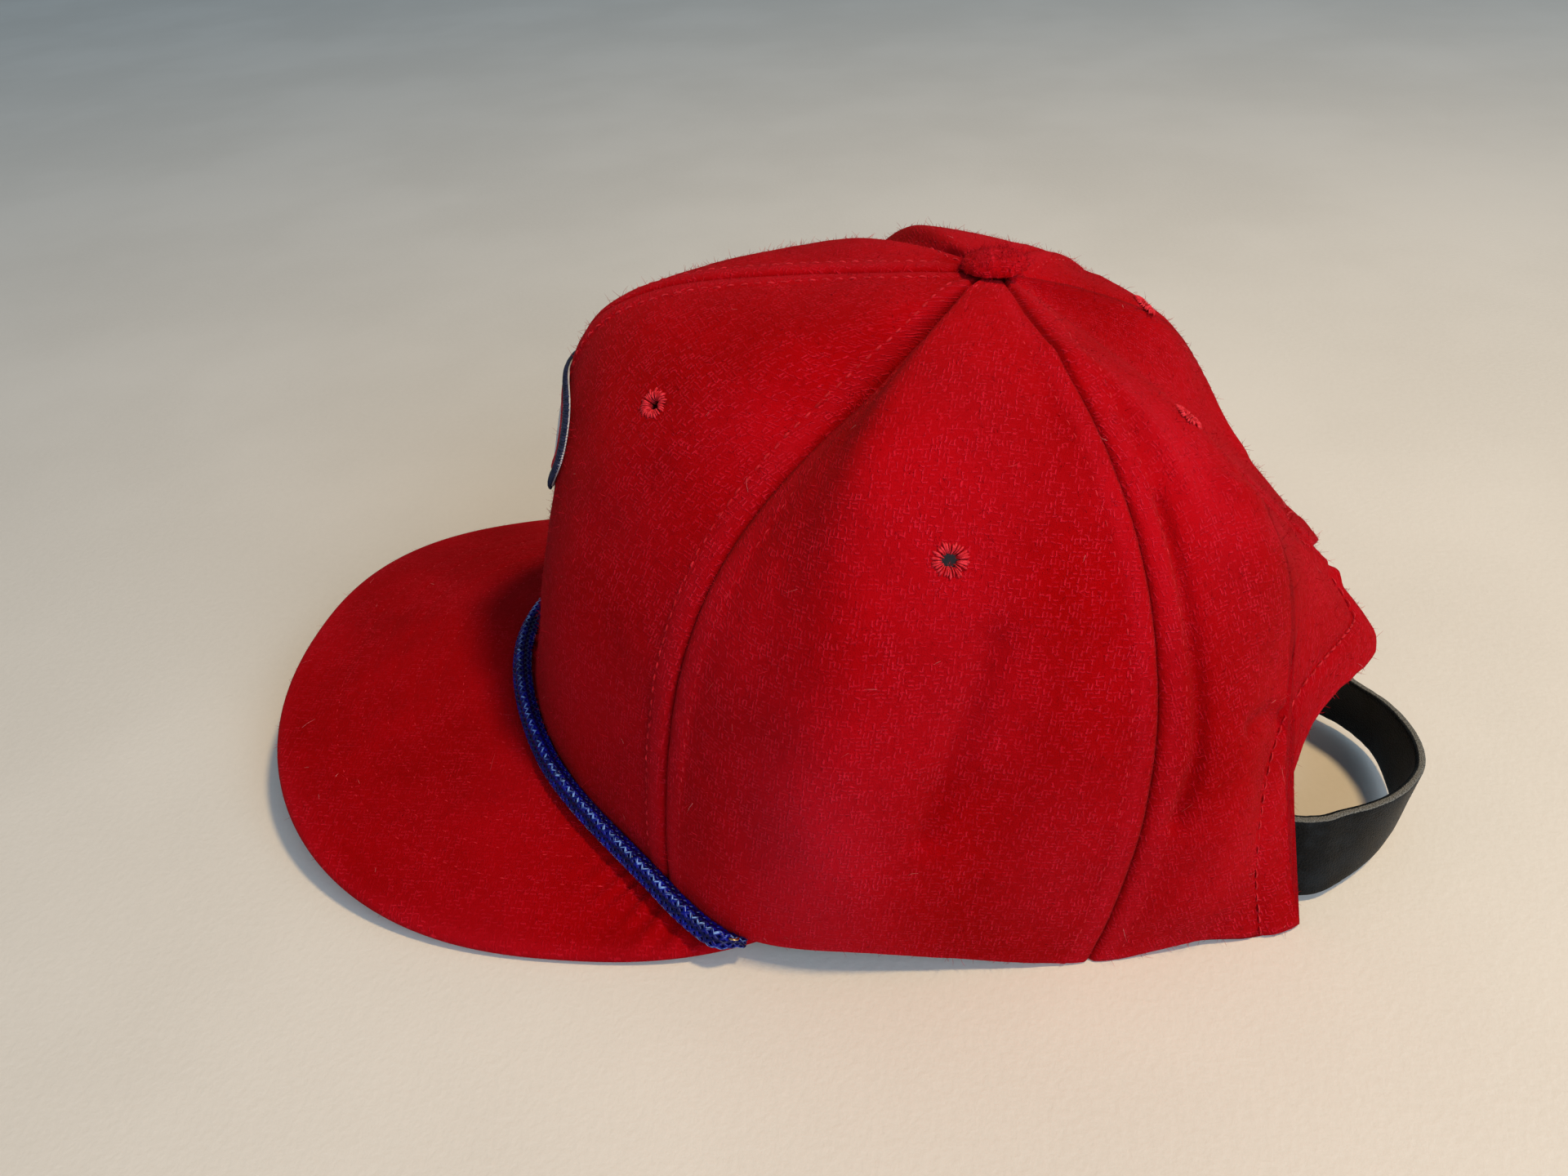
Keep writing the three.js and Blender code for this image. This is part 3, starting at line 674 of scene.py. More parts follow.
def patch_material(name):
    """Satin stitched field in pale thread, with fine rows of stitches."""
    s = Shader(name, Roughness=0.62, Specular_IOR_Level=0.3, Sheen_Weight=0.2,
               Sheen_Roughness=0.4)
    uv = s.uv()
    rows = s.add("TexWave", {"bands_direction": "Y", "wave_profile": "SIN"}, Vector=uv,
                 Scale=0.62, Distortion=0.6, Detail=2.0, Detail_Scale=1.4)
    twill = s.noise(s.vector("MULTIPLY", uv, (0.6, 3.2, 1.0)), 1.0, 3.0, 0.6)
    tone = s.noise(s.place(), 0.2, 3.0, 0.6)
    colour = s.mix(s.smooth(tone, 0.35, 0.7), (0.47, 0.51, 0.58), (0.66, 0.69, 0.73))
    colour = s.mix(s.times(s.smooth(twill, 0.30, 0.48, 1.0, 0.0), 0.5), colour,
                   (0.24, 0.27, 0.34))
    relief = s.times(twill, 0.8, rows.outputs["Fac"])
    return s.finish(colour, normal=s.bump(relief, 0.16, 0.8))


def floor_material(name):
    """Plain pale paper with a faint mottle and grain."""
    s = Shader(name, Roughness=0.9, Specular_IOR_Level=0.2)
    place = s.place()
    cloud = s.noise(place, 0.006, 4.0, 0.55)
    grain = s.noise(place, 0.55, 4.0, 0.65)
    colour = s.mix(s.smooth(cloud, 0.35, 0.68), (0.62, 0.60, 0.555), (0.67, 0.65, 0.605))
    colour = s.mix(s.times(s.smooth(grain, 0.3, 0.75), 0.22), colour,
                   (0.71, 0.69, 0.65))
    return s.finish(colour, normal=s.bump(grain, 0.35, 0.35))


RED_DEEP = (0.275, 0.0002, 0.0008)
RED_BRIGHT = (0.345, 0.0003, 0.0018)
# The pale red serves worn places and pale fibres, and the painted highlights on yarn tops and on one
# fold.
RED_PALE = (0.62, 0.011, 0.030)
WOOL = wool("wool", RED_DEEP, RED_BRIGHT, RED_PALE, weave_share=0.62)
BRIM_WOOL = wool("brim_wool", tuple(0.84 * v for v in RED_DEEP),
                 tuple(0.84 * v for v in RED_BRIGHT), RED_PALE, weave_share=0.26)
THREAD = thread_material("red_thread", (0.34, 0.001, 0.004), (0.54, 0.015, 0.028))
TUFTS = thread_material("eyelet_thread", (0.42, 0.004, 0.010), (0.70, 0.035, 0.055))
FUZZ = fuzz_material("wool_hair", (0.26, 0.0004, 0.0012), (0.62, 0.014, 0.034))
LINT = fuzz_material("lint", (0.62, 0.045, 0.06), (0.80, 0.38, 0.38))
# The braid's third colour is a painted glint.
BRAID = braid_material("blue_braid", (0.0002, 0.0010, 0.062), (0.0003, 0.0032, 0.205),
                       (0.26, 0.50, 1.0))
BRAID_CORE = thread_material("braid_core", (0.001, 0.002, 0.03), (0.003, 0.006, 0.08))
LEATHER = leather_material("black_leather")
BRASS = brass_material("worn_brass")
NAVY = thread_material("navy_thread", (0.006, 0.009, 0.028), (0.022, 0.030, 0.075))
PATCH_FIELD = patch_material("patch_field")
PATCH_RED = thread_material("patch_red_thread", (0.36, 0.012, 0.02), (0.58, 0.03, 0.05))


# ---------------------------------------------------------------- crown panels

def crease_relief(points, side):
    """Height of the narrow folds at points on one side of the crown."""
    height = np.zeros(points.shape[:-1])
    for crease_side, width, rise, places in CREASES:
        if crease_side != side:
            continue
        around, climb = np.array(places).T
        line = smooth_curve(crown_point(around, climb, side), per_span=5)
        away = distance_to_line(points, line)
        tapered = 1 + 0.25 * soft_noise(points, 14, 5)
        height += rise * bump(away / (width * tapered))
    return height


def seam_relief(away, along, one_sided=False):
    """Cloth beside a seam: it dives into the seam, rises over the folded allowance and is
    pulled down by the row of topstitching. away and along are in millimetres."""
    crease = -0.70 * bump(away / 0.55) - 0.16 * bump(away / 1.6)
    band = 0.42 * (1 - bump(away / 1.5)) * (1 - step(SEAM_BAND - 0.6, SEAM_BAND + 1.4, away))
    pull = 0.55 + 0.45 * np.cos(2 * np.pi * along / STITCH_PITCH)
    dimple = -0.26 * bump((away - SEAM_BAND) / 0.75) * pull
    return crease + (0.45 if one_sided else 1.0) * (band + dimple)


def top_climb(around, side):
    """The climb at which the cloth ends, equally far from the apex all round."""
    near = crown_point(around, np.full_like(around, APEX_CLIMB), side)
    reach = np.linalg.norm((near - np.array(APEX, float))[:, :2], axis=-1)
    return 1 - (1 - APEX_CLIMB) * APEX_HOLE / reach


def panel_grid(first, side):
    """The fine grid of one panel: places, points, normals and distances in millimetres."""
    u = np.linspace(0, 1, PANEL_ACROSS + 1)
    columns = first + u - 0.62 * np.sin(2 * np.pi * u) / (2 * np.pi)
    columns[0], columns[-1] = first, first + 1
    v = np.linspace(0, 1, PANEL_UP + 1)
    v = v - 0.35 * np.sin(2 * np.pi * v) / (2 * np.pi)
    start = start_climb(columns)[:, None]
    around = np.repeat(columns[:, None], len(v), axis=1)
    climb = start + (top_climb(columns, side)[:, None] - start) * v
    base = crown_point(around, climb, side)
    normal = crown_normal(around, climb, np.full_like(around, side))
    stride = np.linalg.norm(np.diff(base, axis=0), axis=-1)
    from_first = np.concatenate([np.zeros((1, len(v))), np.cumsum(stride, axis=0)])
    from_last = from_first[-1] - from_first
    rise = np.linalg.norm(np.diff(base, axis=1), axis=-1)
    height = np.concatenate([np.zeros((len(columns), 1)), np.cumsum(rise, axis=1)], axis=1)
    return {
        "first": first, "side": side, "around": around, "climb": climb, "base": base,
        "normal": normal, "seams": (from_first, from_last), "height": height,
        "width": from_first[-1],
    }


def band_share(grid):
    """How much the seam bands are narrowed at each height, so that they fit near the apex."""
    return np.minimum(1, 0.36 * grid["width"] / SEAM_BAND)


def hem_relief(grid):
    """Lift of the turned hem round the back opening, with its puckers and one knob."""
    base = grid["base"]
    *_, edge = opening_edge(grid["side"])
    away = distance_to_line(base, edge)
    along = base[..., 0] * 0.8 + base[..., 2]
    hem = 0.75 * (1 - step(HEM_WIDTH - 2.5, HEM_WIDTH + 1.0, away))
    pucker = 0.5 + 0.5 * np.cos(2 * np.pi * along / 4.6 + 2.2 * soft_noise(base, 9, 21))
    groove = bump((away - HEM_WIDTH) / 1.5) * (0.45 + 0.55 * pucker)
    knob = bump((grid["around"] - 2.93) / 0.03) * bump((away - 2.0) / 3.0)
    return hem * (0.72 + 0.28 * pucker) - 0.75 * groove + 0.9 * knob


def outer_relief(grid, folds):
    """Lift of the outer face over the plain crown surface, and how much painted shade it takes in
    the seams' grooves and in the sunken folds.
    """
    first, base = grid["first"], grid["base"]
    share = band_share(grid)
    lift = np.zeros(base.shape[:2])
    for end, away in enumerate(grid["seams"]):
        one_sided = first + end == 2
        lift += seam_relief(away / share, grid["height"], one_sided) * np.clip(share * 1.1, 0, 1)
    lift += folds
    quiet = 1 - 0.6 * (np.minimum(*grid["seams"]) < SEAM_BAND)
    lift += quiet * (0.50 * soft_noise(base, 27, 11) + 0.26 * soft_noise(base, 12, 12))
    lift += 0.075 * soft_noise(base, 4.0, 13) + 0.045 * soft_noise(base, 1.9, 14)
    if first == 2:
        lift += hem_relief(grid)
    # Painted shade in the seams' grooves and in the sunken folds.
    crease = sum(bump(away / 0.55) for away in grid["seams"])
    return lift, np.clip(crease + 0.30 * np.clip(-folds, 0, 1.6), 0, 1)


def wear_and_highlight_places(grid):
    """How pale the cloth is: worn along the seams and at the hems, paler low on both sides, with a
    painted highlight along the raised fold on the back of the left side.
    """
    around, climb, base = grid["around"], grid["climb"], grid["base"]
    wear_and_highlight = 0.12 + 0.20 * soft_noise(base, 22, 31)
    if grid["side"] == LEFT:
        wear_and_highlight = wear_and_highlight + 0.75 * bump((around - 1.36) / 0.15) * bump((climb - 0.13) / 0.15)
        # Painted highlight along the raised fold on the back of the left side.
        wear_and_highlight = wear_and_highlight + 0.45 * bump((around - 2.28) / 0.09) * bump((climb - 0.68) / 0.15)
        wear_and_highlight = wear_and_highlight + 0.55 * bump((around - 2.62) / 0.20) * bump((climb - 0.60) / 0.035)
    else:
        wear_and_highlight = wear_and_highlight + 0.55 * bump((around - 1.55) / 0.20) * bump((climb - 0.15) / 0.15)
    away = np.minimum(*grid["seams"])
    wear_and_highlight = wear_and_highlight + 0.28 * bump((away - 3.2) / 1.9) + 0.25 * bump(grid["height"] / 2.5)
    return np.clip(wear_and_highlight, 0, 1)


def eyelet_centre(first, side):
    """The middle of a panel's eyelet on the plain crown surface, and the normal there."""
    around, climb = np.array(EYELET_PLACES[first], float)[:, None]
    centre = crown_point(around, climb, side)[0]
    normal = crown_normal(around, climb, np.array([side]))[0]
    return centre, normal


def round_hole(points, centre, normal, radius):
    """Which cells lie inside a round hole, and how far each point is from the hole's middle."""
    away = points - centre
    flat = away - (away @ normal)[..., None] * normal
    distance = np.linalg.norm(flat, axis=-1)
    middle = (distance[:-1, :-1] + distance[1:, :-1] + distance[:-1, 1:] + distance[1:, 1:]) / 4
    return middle < radius, flat, distance


def panel(first, side):
    """One crown panel: a closed cloth shell with a rolled lower edge and an eyelet hole."""
    grid = panel_grid(first, side)
    base, normal = grid["base"], grid["normal"]
    folds = crease_relief(base, side)
    lift, crease = outer_relief(grid, folds)
    columns, rows = base.shape[:2]
    # Both faces round over towards the lower edge, where they meet in a fold.
    roll = np.clip(grid["height"] / EDGE, 0, 1)
    pinch = 1 - np.sqrt(1 - (1 - roll) ** 2)
    outer = base + normal * (lift - pinch * CLOTH / 2)[..., None]
    tape = 0.35 * (1 - step(6.5, 8.0, np.minimum(*grid["seams"])))
    under = -CLOTH - tape + 0.12 * soft_noise(base, 5, 41) + 0.5 * folds
    under = np.where(roll < 1, -CLOTH + (under + CLOTH) * roll, under)
    inner = base + normal * (under + pinch * CLOTH / 2)[..., None]
    outer[..., 2], inner[..., 2] = np.maximum(outer[..., 2], 0), np.maximum(inner[..., 2], 0)

    # Points near the eyelet's rim are moved onto the rim.
    centre, facing = eyelet_centre(first, side)
    hole, flat, distance = round_hole(base, centre, facing, EYELET_HOLE)
    corners = np.zeros((columns, rows), int)
    for a in (0, 1):
        for b in (0, 1):
            corners[a:columns - 1 + a, b:rows - 1 + b] += hole
    rim = (corners > 0) & (corners < 4)
    shift = flat[rim] * (EYELET_HOLE / np.maximum(distance[rim], 1e-6) - 1)[:, None]
    outer[rim] += shift
    inner[rim] += shift

    faces = panel_faces(hole)
    if side == RIGHT:
        faces = faces[:, ::-1]
    points = np.concatenate([outer.reshape(-1, 3), inner.reshape(-1, 3)])
    middle = (grid["seams"][0] - grid["seams"][1]) / 2
    uv = np.stack([middle + 200 * first, grid["height"] + 40], axis=-1).reshape(-1, 2)
    wear_and_highlight = wear_and_highlight_places(grid).ravel()
    zero = np.zeros_like(wear_and_highlight)
    kind = ("front", "side", "back")[first]
    node = f"{kind}_panel_{SIDE_NAMES[side]}"
    # The crease value carries painted shade along the seams and in the folds.
    add_piece(f"wool_{node}", points, faces, WOOL, "wool", (node,), uv=np.concatenate([uv, uv]),
              shades={"wear_and_highlight": np.concatenate([wear_and_highlight, zero + 0.1]),
                      "crease": np.concatenate([crease.ravel(), zero])})
    return grid | {"outer": outer}


def panel_faces(hole):
    """Quads of a panel's two faces, its four edges and its eyelet, whose cells hole marks."""
    columns, rows = hole.shape[0] + 1, hole.shape[1] + 1
    here = np.arange(columns * rows).reshape(columns, rows)
    inn = here + columns * rows
    return np.concatenate([
        np.stack([here[:-1, :-1], here[1:, :-1], here[1:, 1:], here[:-1, 1:]], -1)[~hole],
        np.stack([inn[:-1, 1:], inn[1:, 1:], inn[1:, :-1], inn[:-1, :-1]], -1)[~hole],
        np.stack([inn[:-1, 0], inn[1:, 0], here[1:, 0], here[:-1, 0]], -1),
        np.stack([here[:-1, -1], here[1:, -1], inn[1:, -1], inn[:-1, -1]], -1),
        np.stack([inn[0, :-1], here[0, :-1], here[0, 1:], inn[0, 1:]], -1),
        np.stack([here[-1, :-1], inn[-1, :-1], inn[-1, 1:], here[-1, 1:]], -1),
        hole_walls(hole, here, inn),
    ])


def hole_walls(hole, here, inn):
    """Quads between the outer and inner faces all round a hole in the cells."""
    walls = []
    padded = np.pad(hole, 1)
    for i, j in zip(*np.nonzero(hole)):
        a, b, c, d = (i, j), (i + 1, j), (i + 1, j + 1), (i, j + 1)
        around = (((i, j - 1), a, b), ((i + 1, j), b, c), ((i, j + 1), c, d), ((i - 1, j), d, a))
        for (ni, nj), p, q in around:
            if not padded[ni + 1, nj + 1]:
                walls.append((here[p], here[q], inn[q], inn[p]))
    return np.array(walls, int).reshape(-1, 4)


PANELS = {(first, side): panel(first, side) for first in range(3) for side in (LEFT, RIGHT)}


# ---------------------------------------------------------------- stitching on the crown

def line_beside_seam(grid, end, distance):
    """Line on the outer face at a distance from one seam, narrowed towards the apex."""
    away = grid["seams"][end]
    reach = distance * band_share(grid)
    line, normals = [], []
    for row in range(away.shape[1]):
        order = slice(None) if end == 0 else slice(None, None, -1)
        across = away[order, row]
        values = np.concatenate([grid["outer"][order, row], grid["normal"][order, row]], axis=1)
        read = [np.interp(reach[row], across, values[:, k]) for k in range(6)]
        line.append(read[:3])
        normals.append(read[3:])
    return np.array(line), np.array(normals)


def hem_line(side):
    """Where the stitches round the back opening run, and the cloth's normals there."""
    around, climb, edge = opening_edge(side, 70)
    sides = np.full_like(around, side)
    along, up = crown_tangents(around, climb, sides)
    normal = unit(np.cross(along, up) * side)
    inward = unit(np.cross(normal, unit(np.gradient(edge, axis=0)))) * side
    # Step from the edge into the cloth, and bring the step back onto the surface.
    target = edge + inward * HEM_WIDTH
    for _ in range(4):
        here = crown_point(around, climb, side)
        basis = np.stack(crown_tangents(around, climb, sides), axis=-1)
        move = np.linalg.pinv(basis) @ (target - here)[..., None]
        around, climb = around + move[:, 0, 0], np.maximum(climb + move[:, 1, 0], 0.004)
    normal = crown_normal(around, climb, sides)
    return crown_point(around, climb, side) + normal * -0.1, normal


def crown_stitching():
    """A row of stitches on both sides of every seam and one round the back opening."""
    parts = []
    for number, ((first, side), grid) in enumerate(PANELS.items()):
        for end in (0, 1):
            line, normals = line_beside_seam(grid, end, SEAM_BAND)
            keep = slice(4, -3)
            # The rows on the front panels stand out; the nap buries the others.
            thread, lift = (0.22, 0.10) if first == 0 else (0.17, -0.06)
            parts.append(stitches(line[keep], normals[keep], thread, lift,
                                  seed=100 + 2 * number + end))
    for side in (LEFT, RIGHT):
        parts.append(stitches(*hem_line(side), 0.2, -0.02, seed=140 + side))
    add_piece("crown_topstitching", *joined([p for p in parts if p]), THREAD, "wool")


def eyelets():
    """A ring of radial stitches worked over the edge of each round hole."""
    parts = []
    for (first, side), grid in PANELS.items():
        centre, normal = eyelet_centre(first, side)
        random = np.random.default_rng(200 + first * 2 + (side > 0))
        nearest = np.argmin(np.linalg.norm(grid["base"] - centre, axis=-1))
        lift = (grid["outer"].reshape(-1, 3)[nearest] - centre) @ normal
        centre = centre + normal * lift
        first_axis = unit(np.cross(normal, UP))
        second_axis = np.cross(normal, first_axis)
        turn = np.arange(EYELET_TUFTS) + random.uniform(-.25, .25, EYELET_TUFTS)
        turn = turn * 2 * np.pi / EYELET_TUFTS
        outward = np.cos(turn)[:, None] * first_axis + np.sin(turn)[:, None] * second_axis
        reach = random.uniform(-.45, .35, (EYELET_TUFTS, 1))
        # Radius and height of a stitch: from outside on the cloth, over the rim, and down
        # through the hole to the inside.
        radius, height = np.array((
            (3.2, -0.15), (2.9, 0.14), (2.4, 0.28), (1.85, 0.12), (1.45, -0.4),
            (1.45, -1.3), (1.9, -2.2), (2.8, -2.45), (3.3, -2.2),
        )).T
        radial = radius + reach * np.linspace(1, 0.3, len(radius))
        heights = height[None, :, None] + random.uniform(-.06, .06, (EYELET_TUFTS, 1, 1))
        centres = centre + outward[:, None] * radial[..., None] + normal * heights
        sideways = np.cross(normal, outward)
        ups = unit(np.cross(np.gradient(centres, axis=1), sideways[:, None]))
        width = 0.27 * (radial / 3.0) * random.uniform(.8, 1.1, (EYELET_TUFTS, 1))
        width[:, 0] *= 0.45
        parts.append(tubes(centres, ups, width, 0.22, sides=8))
    add_piece("eyelet_stitching", *joined(parts), TUFTS, "wool")


crown_stitching()
eyelets()


# ---------------------------------------------------------------- brim

def joint_point(t, lift=0.0):
    """Point on the joint of crown and brim. t is -1 at the right temple, 1 at the left."""
    t = np.asarray(t, float)
    side = np.where(t < 0, RIGHT, LEFT)
    around = np.abs(t) * BRIM_TEMPLE
    zero = np.zeros_like(around)
    return crown_point(around, zero, side) + crown_normal(around, zero, side) * lift


def brim_edge(t):
    """Point on the outer edge of the brim's bottom face."""
    temple_turn = math.asin((BRIM_MIDDLE_Y - joint_point(np.array([1.0]))[0, 1]) / BRIM_REACH)
    turn = np.pi / 2 - np.abs(t) * (np.pi / 2 - temple_turn)
    power = 2 / BRIM_SQUARENESS

    def bent(v):
        return np.sign(v) * np.abs(v) ** power

    x = BRIM_HALF_WIDTH * bent(np.cos(turn)) * np.sign(t)
    y = BRIM_MIDDLE_Y - BRIM_REACH * bent(np.sin(turn))
    return np.stack([x, y, BRIM_ARCH * (1 - (x / BRIM_HALF_WIDTH) ** 2)], axis=-1)


def brim_bottom(t, out):
    """Point of the brim's bottom face; out is 0 at the joint and 1 at the edge."""
    inner = joint_point(t, -CLOTH)
    inner[..., 2] -= GAP + BRIM_THICKNESS
    return inner + (brim_edge(t) - inner) * out[..., None]


def brim():
    """The brim as one closed cloth-covered board. Returns the points of its top."""
    across, outwards = 230, 96
    t = np.linspace(-1, 1, across + 1)
    out = np.linspace(0, 1, outwards + 1)
    out = np.concatenate([out[:-1], 1 - np.array([0.0070, 0.0045, 0.0025, 0.0010, 0.0])])
    ts, outs = np.meshgrid(t, out, indexing="ij")
    bottom = brim_bottom(ts, outs)
    edge = brim_edge(np.linspace(-1, 1, 400))
    flat = bottom * (1, 1, 0)
    away = distance_to_line(flat, edge * (1, 1, 0))
    half = BRIM_THICKNESS / 2
    thick = half * np.sqrt(np.clip(1 - (1 - np.clip(away / half, 0, 1)) ** 2, 0, 1))
    middle = bottom + (0, 0, half)

    along = lengths_along(brim_edge(t))[:, None]
    relief = 0.16 * soft_noise(middle, 24, 51) + 0.10 * soft_noise(middle, 9, 52)
    relief = relief + 0.05 * soft_noise(middle, 3.0, 53)
    pull = 0.6 + 0.4 * np.cos(2 * np.pi * along / STITCH_PITCH)
    for row in BRIM_ROWS:
        relief = relief - 0.20 * bump((away - row) / 0.9) * pull
    # Short wrinkles where the brim is eased into the joint near the temples, and ribs along
    # the edge just past them.
    from_joint = np.linalg.norm(middle - (joint_point(t, -CLOTH) - (0, 0, GAP + half))[:, None],
                                axis=-1)
    ripple = np.sin(along / 1.25 + 1.6 * soft_noise(middle, 10, 54))
    ease = bump((np.abs(ts) - 0.84) / 0.11) * bump((from_joint - 6) / 11)
    relief = relief + 0.75 * ripple * ease
    # Painted shade in the wrinkles' furrows, carried as the crease value.
    furrow_shade = np.clip(-0.6 * ripple * ease, 0, 0.4)
    ribs = np.cos(2 * np.pi * away / 3.1) * step(0.90, 0.97, np.abs(ts)) * (away < 11)
    relief = relief + 0.22 * ribs
    settle = step(0.0, 3.0, away)
    top = middle + np.stack([0 * thick, 0 * thick, thick + relief * settle], axis=-1)
    under = middle - np.stack([0 * thick, 0 * thick, thick + 0.5 * relief * settle], axis=-1)
    top[..., 2], under[..., 2] = np.maximum(top[..., 2], 0.05), np.maximum(under[..., 2], 0)

    columns, count = ts.shape
    first_under = columns * count
    here = np.arange(first_under).reshape(columns, count)
    low = here + first_under
    faces = np.concatenate([
        grid_faces(columns, count),
        grid_faces(columns, count, first_under)[:, ::-1],
        np.stack([low[:-1, 0], low[1:, 0], here[1:, 0], here[:-1, 0]], -1),
        np.stack([here[:-1, -1], here[1:, -1], low[1:, -1], low[:-1, -1]], -1),
        np.stack([here[0, :-1], here[0, 1:], low[0, 1:], low[0, :-1]], -1),
        np.stack([low[-1, :-1], low[-1, 1:], here[-1, 1:], here[-1, :-1]], -1),
    ])[:, ::-1]
    points = np.concatenate([top.reshape(-1, 3), under.reshape(-1, 3)])
    uv = np.concatenate([points[:first_under, :2], points[first_under:, :2] + (0, 300)])
    wear_and_highlight = 0.05 + 0.28 * bump(away / 3.0) + 0.14 * soft_noise(middle, 20, 55)
    wear_and_highlight = np.clip(wear_and_highlight, 0, 1).ravel()
    add_piece("wool_brim", points, faces, BRIM_WOOL, "brim_wool", ("brim",), uv=uv,
              shades={"wear_and_highlight": np.concatenate([wear_and_highlight, wear_and_highlight]),
                      "crease": np.concatenate([furrow_shade.ravel(), 0 * wear_and_highlight])})
    brim_stitching(top, away)
    return top


def brim_stitching(top, away):
    """Rows of stitches on the brim's top, each at one distance from its edge."""
    parts = []
    for number, row in enumerate(BRIM_ROWS):
        line = []
        for points, distance in zip(top, away):
            if distance[0] < row + 1.0:
                continue
            line.append([np.interp(row, distance[::-1], points[::-1, k]) for k in range(3)])
        if len(line) < 8:
            continue
        normals = np.tile(UP, (len(line), 1))
        parts.append(stitches(np.array(line), normals, 0.15, -0.08, seed=300 + number))
    add_piece("brim_topstitching", *joined([p for p in parts if p]), THREAD, "brim_wool")


BRIM_TOP = brim()


# ---------------------------------------------------------------- braided cord

def cord_route():
    """Middle line of the cord, one point each 0.45 mm, tucked in at both ends."""
    t = np.linspace(-1, 1, 33) * (1 + CORD_OVERRUN)
    joint = joint_point(t)
    side = np.where(t < 0, RIGHT, LEFT)
    normal = crown_normal(np.abs(t) * BRIM_TEMPLE, np.full_like(t, 0.02), side)
    level = unit(normal * (1, 1, 0))
    seat = joint + level * (CORD_RADIUS + GAP / 2)
    seat[:, 2] = joint[:, 2] + CORD_RADIUS - CORD_SINK
    fine = smooth_curve(seat, per_span=30)
    total = lengths_along(fine)[-1]
    route = resampled(fine, np.linspace(0, total, int(total / 0.45) + 1))
    # The ends turn in under the crown's rim.
    along = lengths_along(route)
    tuck = 1 - step(0, 6.5, np.minimum(along, along[-1] - along))
    route[:, 0] -= np.sign(route[:, 0]) * 1.9 * tuck
    route[:, 2] -= 0.9 * tuck
    return route


def braided_cord():
    """Sixteen flat strands, each passing over two and under two of those it crosses."""
    route = cord_route()
    along = lengths_along(route)
    ahead = unit(np.gradient(route, axis=0))
    up = unit(np.cross(np.cross(ahead, UP), ahead))
    across = np.cross(ahead, up)
    # Both ends narrow over the last stretch, where they are caught in the seam.
    narrow = 0.45 + 0.55 * step(0, 7, np.minimum(along, along[-1] - along))
    centres, ups, ridges = [], [], []
    crossing = 2 * BRAID_STRANDS * along / BRAID_PITCH
    for hand in (1, -1):
        for strand in range(BRAID_STRANDS):
            turn = hand * 2 * np.pi * (strand / BRAID_STRANDS + along / BRAID_PITCH)
            beat = crossing + 2 * strand if hand > 0 else -crossing - 2 * strand
            over = np.sin(2 * np.pi * (beat + 0.5) / 4)
            over = np.tanh(2.2 * over) / math.tanh(2.2)
            radius = (CORD_RADIUS - 0.62 + 0.30 * over) * narrow
            out = np.cos(turn)[:, None] * up + np.sin(turn)[:, None] * across
            centres.append(route + out * radius[:, None])
            ups.append(out)
            ridges.append(over * 0.5 + 0.5)
    sides = 6
    width, height = 0.50 * narrow, 0.36 * narrow
    points, faces = tubes(np.array(centres), np.array(ups), width, height, sides)
    rings = 2 * BRAID_STRANDS
    around = np.arange(sides) * 1.2 / sides
    uv = np.stack(np.broadcast_arrays(
        (np.arange(rings) * 11)[:, None, None] + along[None, :, None],
        np.arange(rings)[:, None, None] * 3 + around[None, None]), axis=-1).reshape(-1, 2)
    crest = 0.5 + 0.5 * np.sin(np.arange(sides) * 2 * np.pi / sides)
    ridge = (np.array(ridges)[..., None] * crest).ravel()
    add_piece("braided_cord", points, faces, BRAID, "braid", ("brim_cord",), uv=uv,
              shades={"ridge": ridge})
    core_radius = 1.75 * narrow[None, ::3]
    core = tubes(route[None, ::3], up[None, ::3], core_radius, core_radius, sides=12)
    add_piece("braid_core", *core, BRAID_CORE, "braid")
    return route


CORD_ROUTE = braided_cord()


def cord_staple():
    """The bent end of a fine copper staple that pins the cord's left end under the crown."""
    end, before = CORD_ROUTE[-6], CORD_ROUTE[-12]
    ahead = unit(end - before)
    out = unit(np.cross(ahead, UP))
    # Places along the bend: ahead of the cord's end, out from it and up.
    places = ((-1.3, 0.6, 1.5), (-1.0, 1.3, 2.3), (-0.2, 1.7, 2.7), (0.6, 1.4, 2.5),
              (0.8, 0.5, 1.9))
    line = smooth_curve([end + ahead * a + out * b + UP * c for a, b, c in places], 5)
    ups = np.tile(UP + 0.1 * out, (len(line), 1))
    add_piece("cord_staple", *tubes(line[None], ups[None], 0.28, 0.22, sides=8), BRASS, "brass")


cord_staple()


# ---------------------------------------------------------------- button

